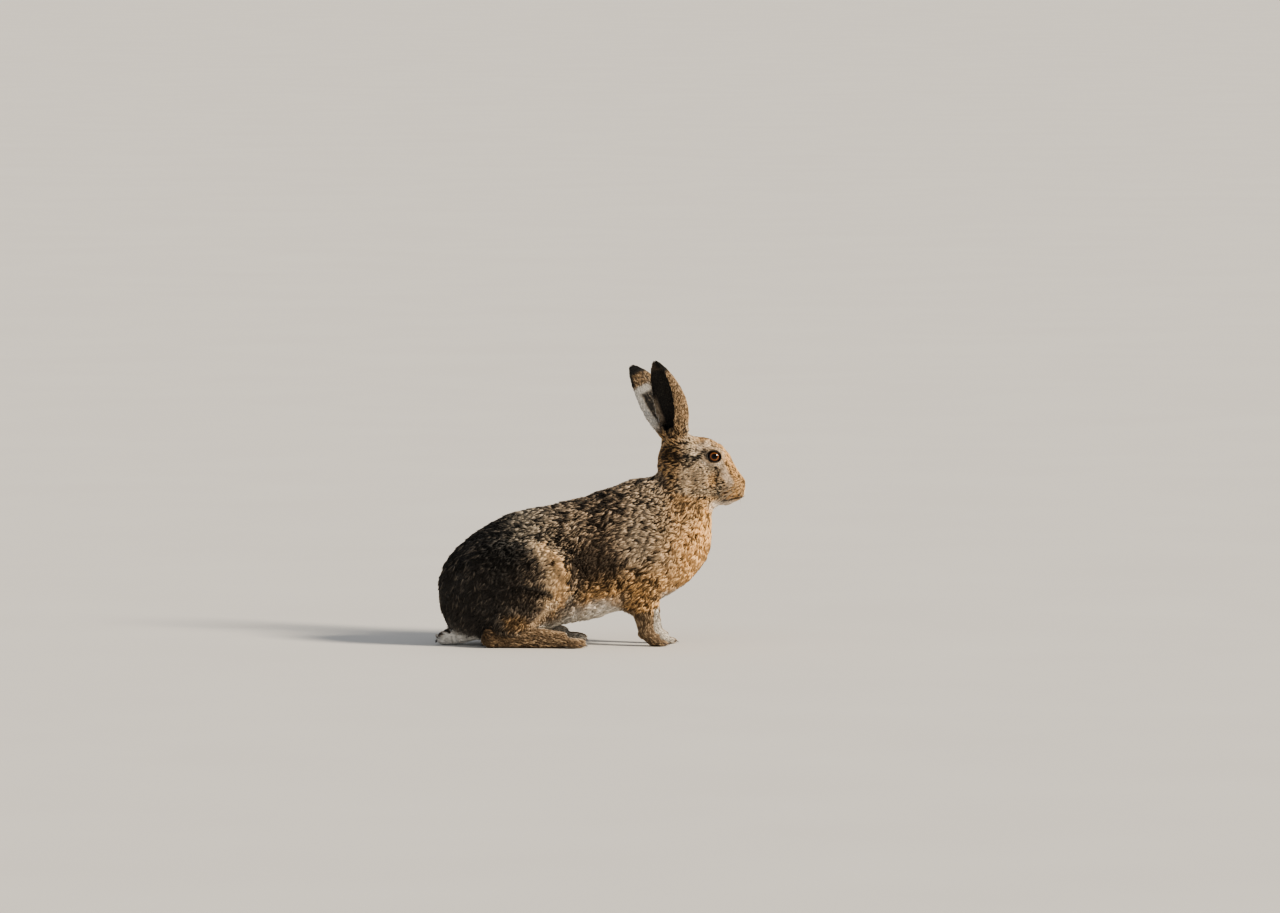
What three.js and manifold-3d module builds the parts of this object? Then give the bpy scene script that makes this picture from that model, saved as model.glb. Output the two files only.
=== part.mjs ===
// Brown hare crouching on all four feet with its ears up, a still life-size model.
// Millimetres, +X towards the nose, +Y to the animal's left, +Z up, soles on z = 0.
import * as THREE from 'three';
import Module from 'manifold-3d';

const wasm = await Module();
wasm.setup();

// Gap left between parts that meet, and the level of the soles.
const GAP = 0.3;
const FLOOR = 0;
const FAR = 900;

// Cell sizes of the surface grids.
const CELL_TORSO = 13.6;
const CELL_NECK = 9.5;
const CELL_HEAD = 5.8;
const CELL_THIGH = 12;
const CELL_FOOT = 8;
const CELL_FORELEG = 6;
const CELL_FOREFOOT = 5.5;
const CELL_TAIL = 7.5;

// Trunk: each station gives x, height, half-height and half-width at the coat's tips.
const RUMP = { x: -122, z: 70, high: 76, wide: 54 };
const LOIN = { x: -85, z: 93, high: 79, wide: 55 };
const FLANK = { x: -41, z: 104, high: 79, wide: 49.5 };
const BARREL = { x: 0, z: 113, high: 79, wide: 52 };
const RIBS = { x: 42, z: 128, high: 78, wide: 51 };
const CHEST = { x: 77, z: 140, high: 77, wide: 49 };
const NECK_BASE = { x: 106, z: 160, high: 50, wide: 39 };
const NECK_TOP = { x: 118, z: 197, high: 40, wide: 31 };
const TRUNK = [RUMP, LOIN, FLANK, BARREL, RIBS, CHEST, NECK_BASE, NECK_TOP];
const TRUNK_NARROWING = 0.2;
const BELLY_LEVEL = 7;

// Hind legs: distance from the middle plane is given as side.
const HIP = { x: -118, side: 32, z: 90, high: 50, wide: 32 };
const KNEE = { x: -58, side: 48, z: 92, high: 38, wide: 25 };
const SHANK_TOP = { x: -64, side: 49, z: 66, high: 21, wide: 17 };
const ANKLE = { x: -108, side: 45, z: 26, high: 20, wide: 17 };
const SOLE_SINK = 1.2;
const HEEL = { x: -126, side: 43, z: 14.8, high: 16, wide: 14 };
const INSTEP = { x: -80, side: 45, z: 13.3, high: 14.5, wide: 13.5 };
const BALL = { x: -40, side: 47, z: 10.5, high: 11.7, wide: 14.5 };
const HIND_TOES = { count: 4, reach: 27, spread: 18, radius: 6.6, drop: 3 };

// Forelegs: the left one stands a little ahead of the right one.
const BLADE = { x: 62, side: 32, z: 138, high: 40, wide: 19 };
const SHOULDER = { x: 58, side: 24, z: 92, high: 30, wide: 22 };
const ELBOW = { x: 62, side: 21, z: 62, high: 19, wide: 16 };
const FOREARM = { x: 67, side: 21, z: 40, high: 12.5, wide: 11.5 };
const WRIST = { x: 70, side: 21, z: 20, high: 11, wide: 10.5 };
const PAW = { x: 80, side: 21, z: 8.4, high: 9.6, wide: 11 };
const LEFT_AHEAD = 11;
const FORE_TOES = { count: 4, reach: 14, spread: 14, radius: 4.8, drop: 2.2 };

// Tail, laid back under the rump at the level of the soles.
const TAIL_ROOT = { x: -148, z: 22, high: 17, wide: 17 };
const TAIL_MID = { x: -174, z: 13.5, high: 14.5, wide: 15 };
const TAIL_TIP = { x: -187, z: 9, high: 10, wide: 10.5 };

// Head: rows run from the back of the skull to the nose.
const CRANIUM = { x: 118, z: 237, high: 33, wide: 24 };
const CROWN = { x: 142, z: 236, high: 31, wide: 23 };
const BRIDGE = { x: 156, z: 229, high: 27, wide: 20.5 };
const MUZZLE = { x: 177, z: 208, high: 19, wide: 15 };
const JAW_BACK = { x: 136, z: 207, high: 27, wide: 21 };
const CHIN = { x: 171, z: 190, high: 11.5, wide: 9.5 };
const CHEEK = { x: 134, side: 10.5, z: 216, high: 24, wide: 18 };
const LIP_PAD = { x: 182, side: 5.5, z: 200, high: 13, wide: 11.5 };
const NOSE = { x: 190.5, z: 207.5, high: 8, wide: 6.5 };
const LID_MOUND = { x: 155, side: 8, z: 241, high: 17.5, wide: 16 };
const BROW_BACK = { x: 146, side: 14.5, z: 252, high: 9, wide: 8.5 };
const BROW_FRONT = { x: 163, side: 12.5, z: 249, high: 8, wide: 7.5 };
const EAR_STUB_LOW = { x: 114, side: 11, z: 246, high: 21, wide: 14 };
const EAR_STUB_TOP = { side: 12.5, z: 270, high: 15.3, wide: 13.6 };
const EAR_PARTING = 8;

// Eyes, lids and the cut details of the face.
const EYE = { x: 156, side: 15, z: 242, radius: 10.8 };
const EYE_LOOK = { x: 0.16, side: 0.97, z: 0.16 };
const EYE_SLANT = 0.16;
const LID = { long: 9.3, high: 7.9, thick: 1.7, peak: 1.25, turns: 20, sides: 6 };
const MOUTH = { front: 196, back: 167, side: 17, frontZ: 191, backZ: 186, radius: 1.25, steps: 9 };
const CLEFT = { x: 199, top: 204, low: 191, radius: 1, steps: 4 };
const NOSTRIL = { x: 197, side: 4.6, z: 208.5, long: 2.6, high: 1.3, deep: 2.2 };

// Ears: a leaf rolled round its axis, open towards the back and the side.
const EAR_RIGHT = {
  base: { x: 110, side: 13, z: 271 },
  tip: { x: 80.5, side: 34, z: 366.5 },
};
const EAR_LEFT = {
  base: { x: 104, side: 13, z: 270 },
  tip: { x: 50, side: 36, z: 356.5 },
};
const EAR_BOW = 4.5;
const EAR_OPEN = { x: -0.62, side: 0.78 };
const EAR_WALL = 2.6;
const EAR_ROWS = [
  { at: 0.0, long: 17.5, deep: 12.5, front: 165, back: 165 },
  { at: 0.1, long: 20, deep: 13.5, front: 165, back: 155 },
  { at: 0.2, long: 23, deep: 14.5, front: 160, back: 130 },
  { at: 0.32, long: 25.5, deep: 14.5, front: 152, back: 108 },
  { at: 0.46, long: 26, deep: 13.5, front: 146, back: 98 },
  { at: 0.6, long: 24, deep: 12, front: 140, back: 92 },
  { at: 0.74, long: 20, deep: 10, front: 134, back: 88 },
  { at: 0.86, long: 14.5, deep: 7.5, front: 126, back: 84 },
  { at: 0.94, long: 9, deep: 5.2, front: 116, back: 80 },
  { at: 0.985, long: 4.5, deep: 3.4, front: 104, back: 76 },
];
const EAR_STEPS = 11;
const EAR_PLUG = { high: 11, share: 0.9 };

// Cuts between the parts: a point on each cut and the way it faces.
const HEAD_CUT = { x: 119, z: 203, towardsX: 0.6, towardsZ: 0.8 };
const NECK_CUT = { x: 104, z: 176, towardsX: 0.66, towardsZ: 0.75 };
const THIGH_CUT = { x: -88, z: 84, long: 69, high: 62, inner: 26, outer: 90, taper: 0.9 };
const FORELEG_CUT = { z: 49, back: 40, front: 112, inner: 4, outer: 50 };
const WRIST_CUT = 17.5;

// How softly neighbouring forms run together.
const BLEND = { trunk: 12, thigh: 6, shank: 7, foreleg: 12, head: 9, face: 5, lid: 5, floor: 5 };

const SMALL_STEP = 0.05;

function mix(a, b, share) {
  return a + (b - a) * share;
}

function clamp(value, low, high) {
  return Math.min(high, Math.max(low, value));
}

function smoothMin(a, b, reach) {
  const share = Math.max(reach - Math.abs(a - b), 0) / reach;
  return Math.min(a, b) - share * share * reach / 4;
}

function smoothMax(a, b, reach) {
  return -smoothMin(-a, -b, reach);
}

// Station with its place to one side of the middle plane.
function station(form, hand = 0, ahead = 0) {
  const side = form.side ?? 0;
  return { ...form, x: form.x + ahead, y: hand * side };
}

// Distance to an oval limb between two stations, with its upper part narrowed.
function limb(x, y, z, from, to, narrowing = 0) {
  const alongX = to.x - from.x;
  const alongY = to.y - from.y;
  const alongZ = to.z - from.z;
  const length = alongX * alongX + alongY * alongY + alongZ * alongZ;
  const dot = (x - from.x) * alongX + (y - from.y) * alongY + (z - from.z) * alongZ;
  const share = length > 0 ? clamp(dot / length, 0, 1) : 0;
  const high = mix(from.high, to.high, share);
  const wide = mix(from.wide, to.wide, share);
  const lift = z - mix(from.z, to.z, share);
  const squeeze = 1 - narrowing * clamp(lift / high, -1, 1);
  const across = (y - mix(from.y, to.y, share)) * high / (wide * squeeze);
  const out = Math.hypot(x - mix(from.x, to.x, share), across, lift) - high;
  return out * Math.min(1, wide / high);
}

// Smooth row of stations, filled in between the named ones.
function filled(row, steps) {
  const keys = ['x', 'y', 'z', 'high', 'wide'];
  const result = [];
  for (let i = 0; i < row.length - 1; i += 1) {
    const before = row[Math.max(i - 1, 0)];
    const after = row[Math.min(i + 2, row.length - 1)];
    for (let step = 0; step < steps; step += 1) {
      const t = step / steps;
      const spot = {};
      for (const key of keys) {
        const start = (row[i + 1][key] - before[key]) / 2;
        const end = (after[key] - row[i][key]) / 2;
        const rise = row[i + 1][key] - row[i][key];
        const bend = (2 * t - 3) * t * t * -rise;
        spot[key] = row[i][key] + bend + start * t * (1 - t) ** 2 - end * t * t * (1 - t);
      }
      result.push(spot);
    }
  }
  result.push(row[row.length - 1]);
  return result;
}

function rowDistance(x, y, z, row, narrowing = 0, reach = 0) {
  let best = Infinity;
  for (let i = 0; i < row.length - 1; i += 1) {
    const next = limb(x, y, z, row[i], row[i + 1], narrowing);
    best = reach > 0 && best < Infinity ? smoothMin(best, next, reach) : Math.min(best, next);
  }
  return best;
}

// Fields: negative inside. The trunk carries the neck; the head joins it above.
const TRUNK_ROW = filled(TRUNK.map((form) => station(form)), 4);
const TAIL_ROW = filled([TAIL_ROOT, TAIL_MID, TAIL_TIP].map((form) => station(form)), 3);

function trunkField(x, y, z) {
  const trunk = rowDistance(x, y, z, TRUNK_ROW, TRUNK_NARROWING);
  return smoothMax(trunk, BELLY_LEVEL - z, BLEND.floor);
}

function hindField(x, y, z) {
  const side = Math.abs(y);
  const thigh = limb(x, side, z, station(HIP, 1), station(KNEE, 1));
  const shank = limb(x, side, z, station(SHANK_TOP, 1), station(ANKLE, 1));
  return smoothMin(thigh, shank, BLEND.shank);
}

function foreField(x, y, z) {
  const hand = y < 0 ? -1 : 1;
  const ahead = hand > 0 ? LEFT_AHEAD : 0;
  const forms = [BLADE, SHOULDER, ELBOW, FOREARM, WRIST];
  const row = forms.map((form, index) => ({
    ...form, x: form.x + ahead * index / (forms.length - 1), y: hand * form.side,
  }));
  return rowDistance(x, y, z, row, 0, BLEND.face);
}

function headField(x, y, z) {
  const side = Math.abs(y);
  const skull = rowDistance(x, y, z, [CRANIUM, CROWN, BRIDGE, MUZZLE].map((f) => station(f)));
  const jaw = limb(x, y, z, station(JAW_BACK), station(CHIN));
  const cheek = limb(x, side, z, station(CHEEK, 1), station(CHEEK, 1));
  const pad = limb(x, side, z, station(LIP_PAD, 1), station(LIP_PAD, 1));
  const nose = limb(x, y, z, station(NOSE), station(NOSE));
  const brow = limb(x, side, z, station(BROW_BACK, 1), station(BROW_FRONT, 1));
  const mound = limb(x, side, z, station(LID_MOUND, 1), station(LID_MOUND, 1));
  const leftShare = clamp((y / EAR_PARTING + 1) / 2, 0, 1);
  const stubTop = { ...EAR_STUB_TOP, x: mix(EAR_RIGHT.base.x, EAR_LEFT.base.x, leftShare) };
  const stub = limb(x, side, z, station(EAR_STUB_LOW, 1), station(stubTop, 1));
  let head = smoothMin(skull, jaw, BLEND.head);
  head = smoothMin(head, cheek, BLEND.head);
  head = smoothMin(head, pad, BLEND.face);
  head = smoothMin(head, nose, BLEND.face);
  head = smoothMin(head, brow, BLEND.face);
  head = smoothMin(head, mound, BLEND.lid);
  return smoothMin(head, stub, BLEND.head);
}

function bodyField(x, y, z) {
  let body = smoothMin(trunkField(x, y, z), headField(x, y, z), BLEND.trunk);
  body = smoothMin(body, hindField(x, y, z), BLEND.thigh);
  body = smoothMin(body, foreField(x, y, z), BLEND.foreleg);
  return body;
}

function footField(hand) {
  const row = filled([HEEL, INSTEP, BALL].map((form) => station(form, hand)), 3);
  return (x, y, z) => rowDistance(x, y, z, row);
}

function pawField(hand) {
  const ahead = hand > 0 ? LEFT_AHEAD : 0;
  const wrist = station(WRIST, hand, ahead);
  const paw = station(PAW, hand, ahead);
  return (x, y, z) => smoothMin(foreField(x, y, z), limb(x, y, z, wrist, paw), BLEND.face);
}

function tailField(x, y, z) {
  return rowDistance(x, y, z, TAIL_ROW);
}

function slope(field, x, y, z) {
  const h = SMALL_STEP;
  return [
    (field(x + h, y, z) - field(x - h, y, z)) / (2 * h),
    (field(x, y + h, z) - field(x, y - h, z)) / (2 * h),
    (field(x, y, z + h) - field(x, y, z - h)) / (2 * h),
  ];
}

// Moves a place onto the field's surface along its slope.
function settled(field, place, level, steps, reach) {
  const [x0, y0, z0] = place;
  let [x, y, z] = place;
  for (let step = 0; step < steps; step += 1) {
    const way = slope(field, x, y, z);
    const steep = way[0] ** 2 + way[1] ** 2 + way[2] ** 2;
    if (steep < 1e-6) {
      break;
    }
    const move = (field(x, y, z) - level) / steep;
    x = clamp(x - way[0] * move, x0 - reach, x0 + reach);
    y = clamp(y - way[1] * move, y0 - reach, y0 + reach);
    z = clamp(z - way[2] * move, z0 - reach, z0 + reach);
  }
  return [x, y, z];
}

// Closed surface of a field inside a box, with one point for each cell it passes through.
function surfaceOf(field, low, high, cell, level = 0) {
  const counts = low.map((value, axis) => Math.ceil((high[axis] - value) / cell) + 3);
  const start = low.map((value, axis) => {
    return (value + high[axis]) / 2 - (counts[axis] - 1) * cell / 2;
  });
  const [nx, ny] = counts;
  const total = counts[0] * counts[1] * counts[2];
  const boxed = (x, y, z) => {
    const outside = Math.max(low[0] - x, x - high[0], low[1] - y, y - high[1], low[2] - z, z - high[2]);
    return Math.max(field(x, y, z) - level, outside);
  };
  const values = new Float64Array(total);
  const gridAt = (i, j, k) => (k * ny + j) * nx + i;
  for (let k = 0; k < counts[2]; k += 1) {
    for (let j = 0; j < ny; j += 1) {
      for (let i = 0; i < nx; i += 1) {
        const place = [start[0] + i * cell, start[1] + j * cell, start[2] + k * cell];
        values[gridAt(i, j, k)] = boxed(...place);
      }
    }
  }
  const corner = (index) => [index & 1, (index >> 1) & 1, (index >> 2) & 1];
  const edges = [];
  for (let a = 0; a < 8; a += 1) {
    for (const bit of [1, 2, 4]) {
      if (!(a & bit)) {
        edges.push([a, a | bit]);
      }
    }
  }
  const pointOf = new Int32Array(total).fill(-1);
  const points = [];
  for (let k = 0; k < counts[2] - 1; k += 1) {
    for (let j = 0; j < ny - 1; j += 1) {
      for (let i = 0; i < nx - 1; i += 1) {
        const sum = [0, 0, 0];
        let found = 0;
        for (const [a, b] of edges) {
          const ca = corner(a);
          const cb = corner(b);
          const va = values[gridAt(i + ca[0], j + ca[1], k + ca[2])];
          const vb = values[gridAt(i + cb[0], j + cb[1], k + cb[2])];
          if ((va < 0) !== (vb < 0)) {
            const share = va / (va - vb);
            for (let axis = 0; axis < 3; axis += 1) {
              sum[axis] += mix(ca[axis], cb[axis], share);
            }
            found += 1;
          }
        }
        if (found > 0) {
          const cellAt = [i, j, k];
          const rough = sum.map((value, axis) => start[axis] + (cellAt[axis] + value / found) * cell);
          pointOf[gridAt(i, j, k)] = points.length;
          points.push(settled(boxed, rough, 0, 3, cell * 0.45));
        }
      }
    }
  }
  const faces = [];
  const strides = [[1, 0, 0], [0, 1, 0], [0, 0, 1]];
  for (let k = 1; k < counts[2] - 1; k += 1) {
    for (let j = 1; j < ny - 1; j += 1) {
      for (let i = 1; i < nx - 1; i += 1) {
        const here = values[gridAt(i, j, k)] < 0;
        for (let axis = 0; axis < 3; axis += 1) {
          const [di, dj, dk] = strides[axis];
          if (here === values[gridAt(i + di, j + dj, k + dk)] < 0) {
            continue;
          }
          const u = strides[(axis + 1) % 3];
          const v = strides[(axis + 2) % 3];
          const around = [[1, 1], [0, 1], [0, 0], [1, 0]].map(([a, b]) => {
            return pointOf[gridAt(i - a * u[0] - b * v[0], j - a * u[1] - b * v[1], k - a * u[2] - b * v[2])];
          });
          if (!here) {
            around.reverse();
          }
          const [p, q, r, s] = around;
          const across = (a, b) => Math.hypot(...points[a].map((value, index) => value - points[b][index]));
          if (across(p, r) <= across(q, s)) {
            faces.push([p, q, r], [p, r, s]);
          } else {
            faces.push([q, r, s], [q, s, p]);
          }
        }
      }
    }
  }
  return solidOf(points, faces);
}

// Solid from points and faces.
function solidOf(points, faces) {
  const vertProperties = new Float32Array(points.flat());
  const triVerts = new Uint32Array(faces.flat());
  return new wasm.Manifold(new wasm.Mesh({ numProp: 3, vertProperties, triVerts }));
}

// Solid from an indexed geometry, with coinciding points joined.
function solidFrom(geometry) {
  const place = geometry.getAttribute('position');
  const index = geometry.getIndex();
  const points = [];
  const known = new Map();
  const renamed = [];
  for (let i = 0; i < place.count; i += 1) {
    const point = [place.getX(i), place.getY(i), place.getZ(i)];
    const key = point.map((value) => Math.round(value * 1e4)).join();
    if (!known.has(key)) {
      known.set(key, points.length);
      points.push(point);
    }
    renamed.push(known.get(key));
  }
  const faces = [];
  for (let i = 0; i < index.count; i += 3) {
    const face = [0, 1, 2].map((step) => renamed[index.getX(i + step)]);
    if (new Set(face).size === 3) {
      faces.push(face);
    }
  }
  return solidOf(points, faces);
}

function box(low, high) {
  const geometry = new THREE.BoxGeometry(high[0] - low[0], high[1] - low[1], high[2] - low[2]);
  geometry.translate((low[0] + high[0]) / 2, (low[1] + high[1]) / 2, (low[2] + high[2]) / 2);
  return solidFrom(geometry);
}

// Half of space on the side a cut faces, moved by a shift along that way.
function halfSpace(point, way, shift) {
  const facing = new THREE.Vector3(...way).normalize();
  const turn = new THREE.Quaternion().setFromUnitVectors(new THREE.Vector3(0, 0, 1), facing);
  const geometry = new THREE.BoxGeometry(FAR, FAR, FAR);
  geometry.translate(0, 0, FAR / 2 + shift);
  geometry.applyQuaternion(turn);
  geometry.translate(...point);
  return solidFrom(geometry);
}

function cutAt(cut, ahead, shift) {
  return halfSpace([cut.x, 0, cut.z], [ahead * cut.towardsX, 0, ahead * cut.towardsZ], shift);
}

// Largest closed body of a solid.
function largest(solid) {
  const bodies = solid.decompose();
  bodies.sort((a, b) => b.volume() - a.volume());
  return bodies[0];
}

// Round bar along a path of points, closed into a ring or with pointed ends.
function bar(path, radius, sides, ring) {
  const count = path.length;
  const points = [];
  const faces = [];
  const middle = path.reduce((sum, p) => sum.add(p), new THREE.Vector3()).divideScalar(count);
  for (let i = 0; i < count; i += 1) {
    const next = path[ring ? (i + 1) % count : Math.min(i + 1, count - 1)];
    const last = path[ring ? (i + count - 1) % count : Math.max(i - 1, 0)];
    const along = next.clone().sub(last).normalize();
    const out = path[i].clone().sub(middle);
    out.addScaledVector(along, -out.dot(along)).normalize();
    const up = along.clone().cross(out);
    for (let j = 0; j < sides; j += 1) {
      const angle = (j / sides) * Math.PI * 2;
      const spot = path[i].clone();
      spot.addScaledVector(out, radius * Math.cos(angle));
      spot.addScaledVector(up, radius * Math.sin(angle));
      points.push(spot.toArray());
    }
  }
  for (let i = 0; i < (ring ? count : count - 1); i += 1) {
    for (let j = 0; j < sides; j += 1) {
      const a = i * sides + j;
      const b = i * sides + ((j + 1) % sides);
      const c = ((i + 1) % count) * sides + ((j + 1) % sides);
      const d = ((i + 1) % count) * sides + j;
      faces.push([a, c, b], [a, d, c]);
    }
  }
  if (!ring) {
    points.push(path[0].toArray(), path[count - 1].toArray());
    const end = (count - 1) * sides;
    for (let j = 0; j < sides; j += 1) {
      const k = (j + 1) % sides;
      faces.push([j, k, count * sides], [end + k, end + j, count * sides + 1]);
    }
  }
  return facingOut(points, faces);
}

// Turns the faces over where they came out facing inwards.
function facingOut(points, faces) {
  let volume = 0;
  for (const [a, b, c] of faces) {
    const cross = new THREE.Vector3(...points[b]).cross(new THREE.Vector3(...points[c]));
    volume += new THREE.Vector3(...points[a]).dot(cross);
  }
  const turned = volume < 0 ? faces.map(([a, b, c]) => [a, c, b]) : faces;
  return solidOf(points, turned);
}

function ball(centre, radius, around, rows) {
  const geometry = new THREE.SphereGeometry(radius, around, rows);
  geometry.translate(...centre);
  return solidFrom(geometry);
}

// Plug that parts one thigh from the trunk, a little larger outside than inside.
function thighPlug(hand, growth) {
  const deep = THIGH_CUT.outer - THIGH_CUT.inner + growth;
  const geometry = new THREE.CylinderGeometry(1, THIGH_CUT.taper, deep, 40, 1);
  geometry.scale(THIGH_CUT.long + growth, 1, THIGH_CUT.high + growth);
  if (hand < 0) {
    geometry.rotateZ(Math.PI);
  }
  const middle = (THIGH_CUT.outer + THIGH_CUT.inner - growth) / 2;
  geometry.translate(THIGH_CUT.x, hand * middle, THIGH_CUT.z);
  return solidFrom(geometry);
}

function forelegBox(hand, growth) {
  const inner = FORELEG_CUT.inner - growth;
  const outer = FORELEG_CUT.outer + growth;
  const ys = hand > 0 ? [inner, outer] : [-outer, -inner];
  const low = [FORELEG_CUT.back - growth, ys[0], FLOOR - growth];
  return box(low, [FORELEG_CUT.front + growth, ys[1], FORELEG_CUT.z + growth]);
}

// Rounded toes side by side at the front of a foot.
function toes(ballOfFoot, plan, hand, growth) {
  const solids = [];
  for (let i = 0; i < plan.count; i += 1) {
    const place = i / (plan.count - 1) - 0.5;
    const reach = plan.reach * (1 - 0.9 * (place + hand * 0.08) ** 2);
    const geometry = new THREE.CapsuleGeometry(plan.radius + growth, reach, 3, 7);
    geometry.rotateZ(-Math.PI / 2);
    geometry.rotateY(Math.atan2(plan.drop, plan.reach));
    geometry.rotateZ(place * 0.28);
    const z = plan.radius + plan.drop / 2 - SOLE_SINK / 2;
    geometry.translate(ballOfFoot.x + reach / 2, ballOfFoot.y + place * plan.spread, z);
    solids.push(solidFrom(geometry));
  }
  return wasm.Manifold.union(solids);
}

function hindFoot(hand, growth) {
  const margin = 8;
  const end = station(BALL, hand);
  const low = [HEEL.x - HEEL.high - margin, end.y - 2 * BALL.wide, FLOOR - margin];
  const high = [BALL.x + BALL.high + margin, end.y + 2 * BALL.wide, 2 * HEEL.high + margin];
  const foot = surfaceOf(footField(hand), low, high, CELL_FOOT, growth);
  return foot.add(toes(end, HIND_TOES, hand, growth));
}

function foreFoot(hand) {
  const margin = 8;
  const ahead = hand > 0 ? LEFT_AHEAD : 0;
  const paw = station(PAW, hand, ahead);
  const low = [WRIST.x + ahead - 2 * WRIST.high, paw.y - 2 * PAW.wide, FLOOR - margin];
  const high = [paw.x + PAW.high + margin, paw.y + 2 * PAW.wide, WRIST_CUT + margin];
  const foot = surfaceOf(pawField(hand), low, high, CELL_FOREFOOT);
  return foot.add(toes(paw, FORE_TOES, hand, 0));
}

// One cupped ear, rolled more at its front edge, standing on a filled base.
function ear(hand, plan) {
  const base = new THREE.Vector3(plan.base.x, hand * plan.base.side, plan.base.z);
  const top = new THREE.Vector3(plan.tip.x, hand * plan.tip.side, plan.tip.z);
  const along = top.clone().sub(base);
  const length = along.length();
  along.normalize();
  const open = new THREE.Vector3(EAR_OPEN.x, hand * EAR_OPEN.side, 0);
  open.addScaledVector(along, -open.dot(along)).normalize();
  const front = open.clone().cross(along).multiplyScalar(hand);
  front.normalize();
  if (front.x < 0) {
    front.negate();
  }
  const points = [];
  const faces = [];
  const ringSize = 2 * (EAR_STEPS + 1);
  EAR_ROWS.forEach((row) => {
    const bow = EAR_BOW * Math.sin(row.at * Math.PI);
    const centre = base.clone().addScaledVector(along, row.at * length);
    centre.addScaledVector(front, bow);
    const wall = Math.min(EAR_WALL, row.deep * 0.45);
    for (const inner of [false, true]) {
      for (let i = 0; i <= EAR_STEPS; i += 1) {
        const share = inner ? 1 - i / EAR_STEPS : i / EAR_STEPS;
        const angle = THREE.MathUtils.degToRad(mix(-row.back, row.front, share));
        const rim = Math.abs(share - 0.5) * 2;
        const thick = inner ? wall * (1 - 0.45 * rim ** 4) : 0;
        const spot = centre.clone();
        spot.addScaledVector(front, Math.sin(angle) * (row.long - thick));
        spot.addScaledVector(open, -Math.cos(angle) * (row.deep - thick));
        points.push(spot.toArray());
      }
    }
  });
  for (let i = 0; i < EAR_ROWS.length - 1; i += 1) {
    for (let j = 0; j < ringSize; j += 1) {
      const a = i * ringSize + j;
      const b = i * ringSize + ((j + 1) % ringSize);
      faces.push([a, b, b + ringSize], [a, b + ringSize, a + ringSize]);
    }
  }
  for (const [row, turned] of [[0, false], [EAR_ROWS.length - 1, true]]) {
    for (let j = 0; j < EAR_STEPS; j += 1) {
      const a = row * ringSize + j;
      const b = a + 1;
      const c = row * ringSize + ringSize - 1 - j;
      const d = c - 1;
      faces.push(...(turned ? [[a, b, d], [a, d, c]] : [[a, d, b], [a, c, d]]));
    }
  }
  const shell = facingOut(points, faces);
  const plugGeometry = new THREE.SphereGeometry(1, 16, 8);
  plugGeometry.scale(EAR_ROWS[0].long * EAR_PLUG.share, EAR_ROWS[0].deep * EAR_PLUG.share, EAR_PLUG.high);
  const frame = new THREE.Matrix4().makeBasis(front, along.clone().cross(front), along);
  plugGeometry.applyMatrix4(frame);
  plugGeometry.translate(base.x, base.y, base.z);
  const whole = shell.add(solidFrom(plugGeometry));
  const ownSide = halfSpace([0, 0, 0], [0, hand, 0], GAP / 2);
  return whole.intersect(halfSpace(base.toArray(), along.toArray(), GAP)).intersect(ownSide);
}

function earCut(hand, plan) {
  const { base, tip } = plan;
  const way = [tip.x - base.x, hand * (tip.side - base.side), tip.z - base.z];
  return halfSpace([base.x, hand * base.side, base.z], way, 0);
}

// Raised rim of the lids round one eye.
function lids(hand) {
  const look = new THREE.Vector3(EYE_LOOK.x, hand * EYE_LOOK.side, EYE_LOOK.z).normalize();
  const fore = new THREE.Vector3(1, 0, -EYE_SLANT);
  fore.addScaledVector(look, -fore.dot(look)).normalize();
  const up = look.clone().cross(fore);
  if (up.z < 0) {
    up.negate();
  }
  const centre = new THREE.Vector3(EYE.x, hand * EYE.side, EYE.z);
  const path = [];
  for (let i = 0; i < LID.turns; i += 1) {
    const angle = (i / LID.turns) * Math.PI * 2;
    const long = LID.long * Math.sign(Math.cos(angle)) * Math.abs(Math.cos(angle)) ** (1 / LID.peak);
    const high = LID.high * Math.sin(angle);
    const reach = EYE.radius + GAP + LID.thick * 0.35;
    const out = Math.sqrt(Math.max(reach ** 2 - long ** 2 - high ** 2, 0));
    const spot = centre.clone().addScaledVector(fore, long);
    path.push(spot.addScaledVector(up, high).addScaledVector(look, out));
  }
  return bar(path, LID.thick, LID.sides, true);
}

function onHead(x, y, z) {
  return new THREE.Vector3(...settled(headField, [x, y, z], 0, 12, 12));
}

// Line of the mouth from one corner round the front to the other.
function mouthLine() {
  const path = [];
  for (let i = -MOUTH.steps; i <= MOUTH.steps; i += 1) {
    const share = Math.abs(i) / MOUTH.steps;
    const x = mix(MOUTH.front, MOUTH.back, share ** 1.6);
    const y = Math.sign(i) * MOUTH.side * Math.sin(share * Math.PI / 2);
    path.push(onHead(x, y, mix(MOUTH.frontZ, MOUTH.backZ, share ** 1.3)));
  }
  return bar(path, MOUTH.radius, 6, false);
}

// Short cleft from the nose down to the mouth.
function lipCleft() {
  const path = [];
  for (let i = 0; i <= CLEFT.steps; i += 1) {
    path.push(onHead(CLEFT.x, 0, mix(CLEFT.top, CLEFT.low, i / CLEFT.steps)));
  }
  return bar(path, CLEFT.radius, 6, false);
}

function nostril(hand) {
  const spot = onHead(NOSTRIL.x, hand * NOSTRIL.side, NOSTRIL.z);
  const geometry = new THREE.SphereGeometry(1, 12, 8);
  geometry.scale(NOSTRIL.long, NOSTRIL.deep, NOSTRIL.high);
  geometry.rotateX(hand * 0.5);
  geometry.rotateZ(hand * 0.7);
  geometry.translate(spot.x, spot.y, spot.z);
  return solidFrom(geometry);
}

// Build the parts, those that keep their whole form first.
const aboveFloor = halfSpace([0, 0, FLOOR], [0, 0, 1], 0);
const parts = {};

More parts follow.
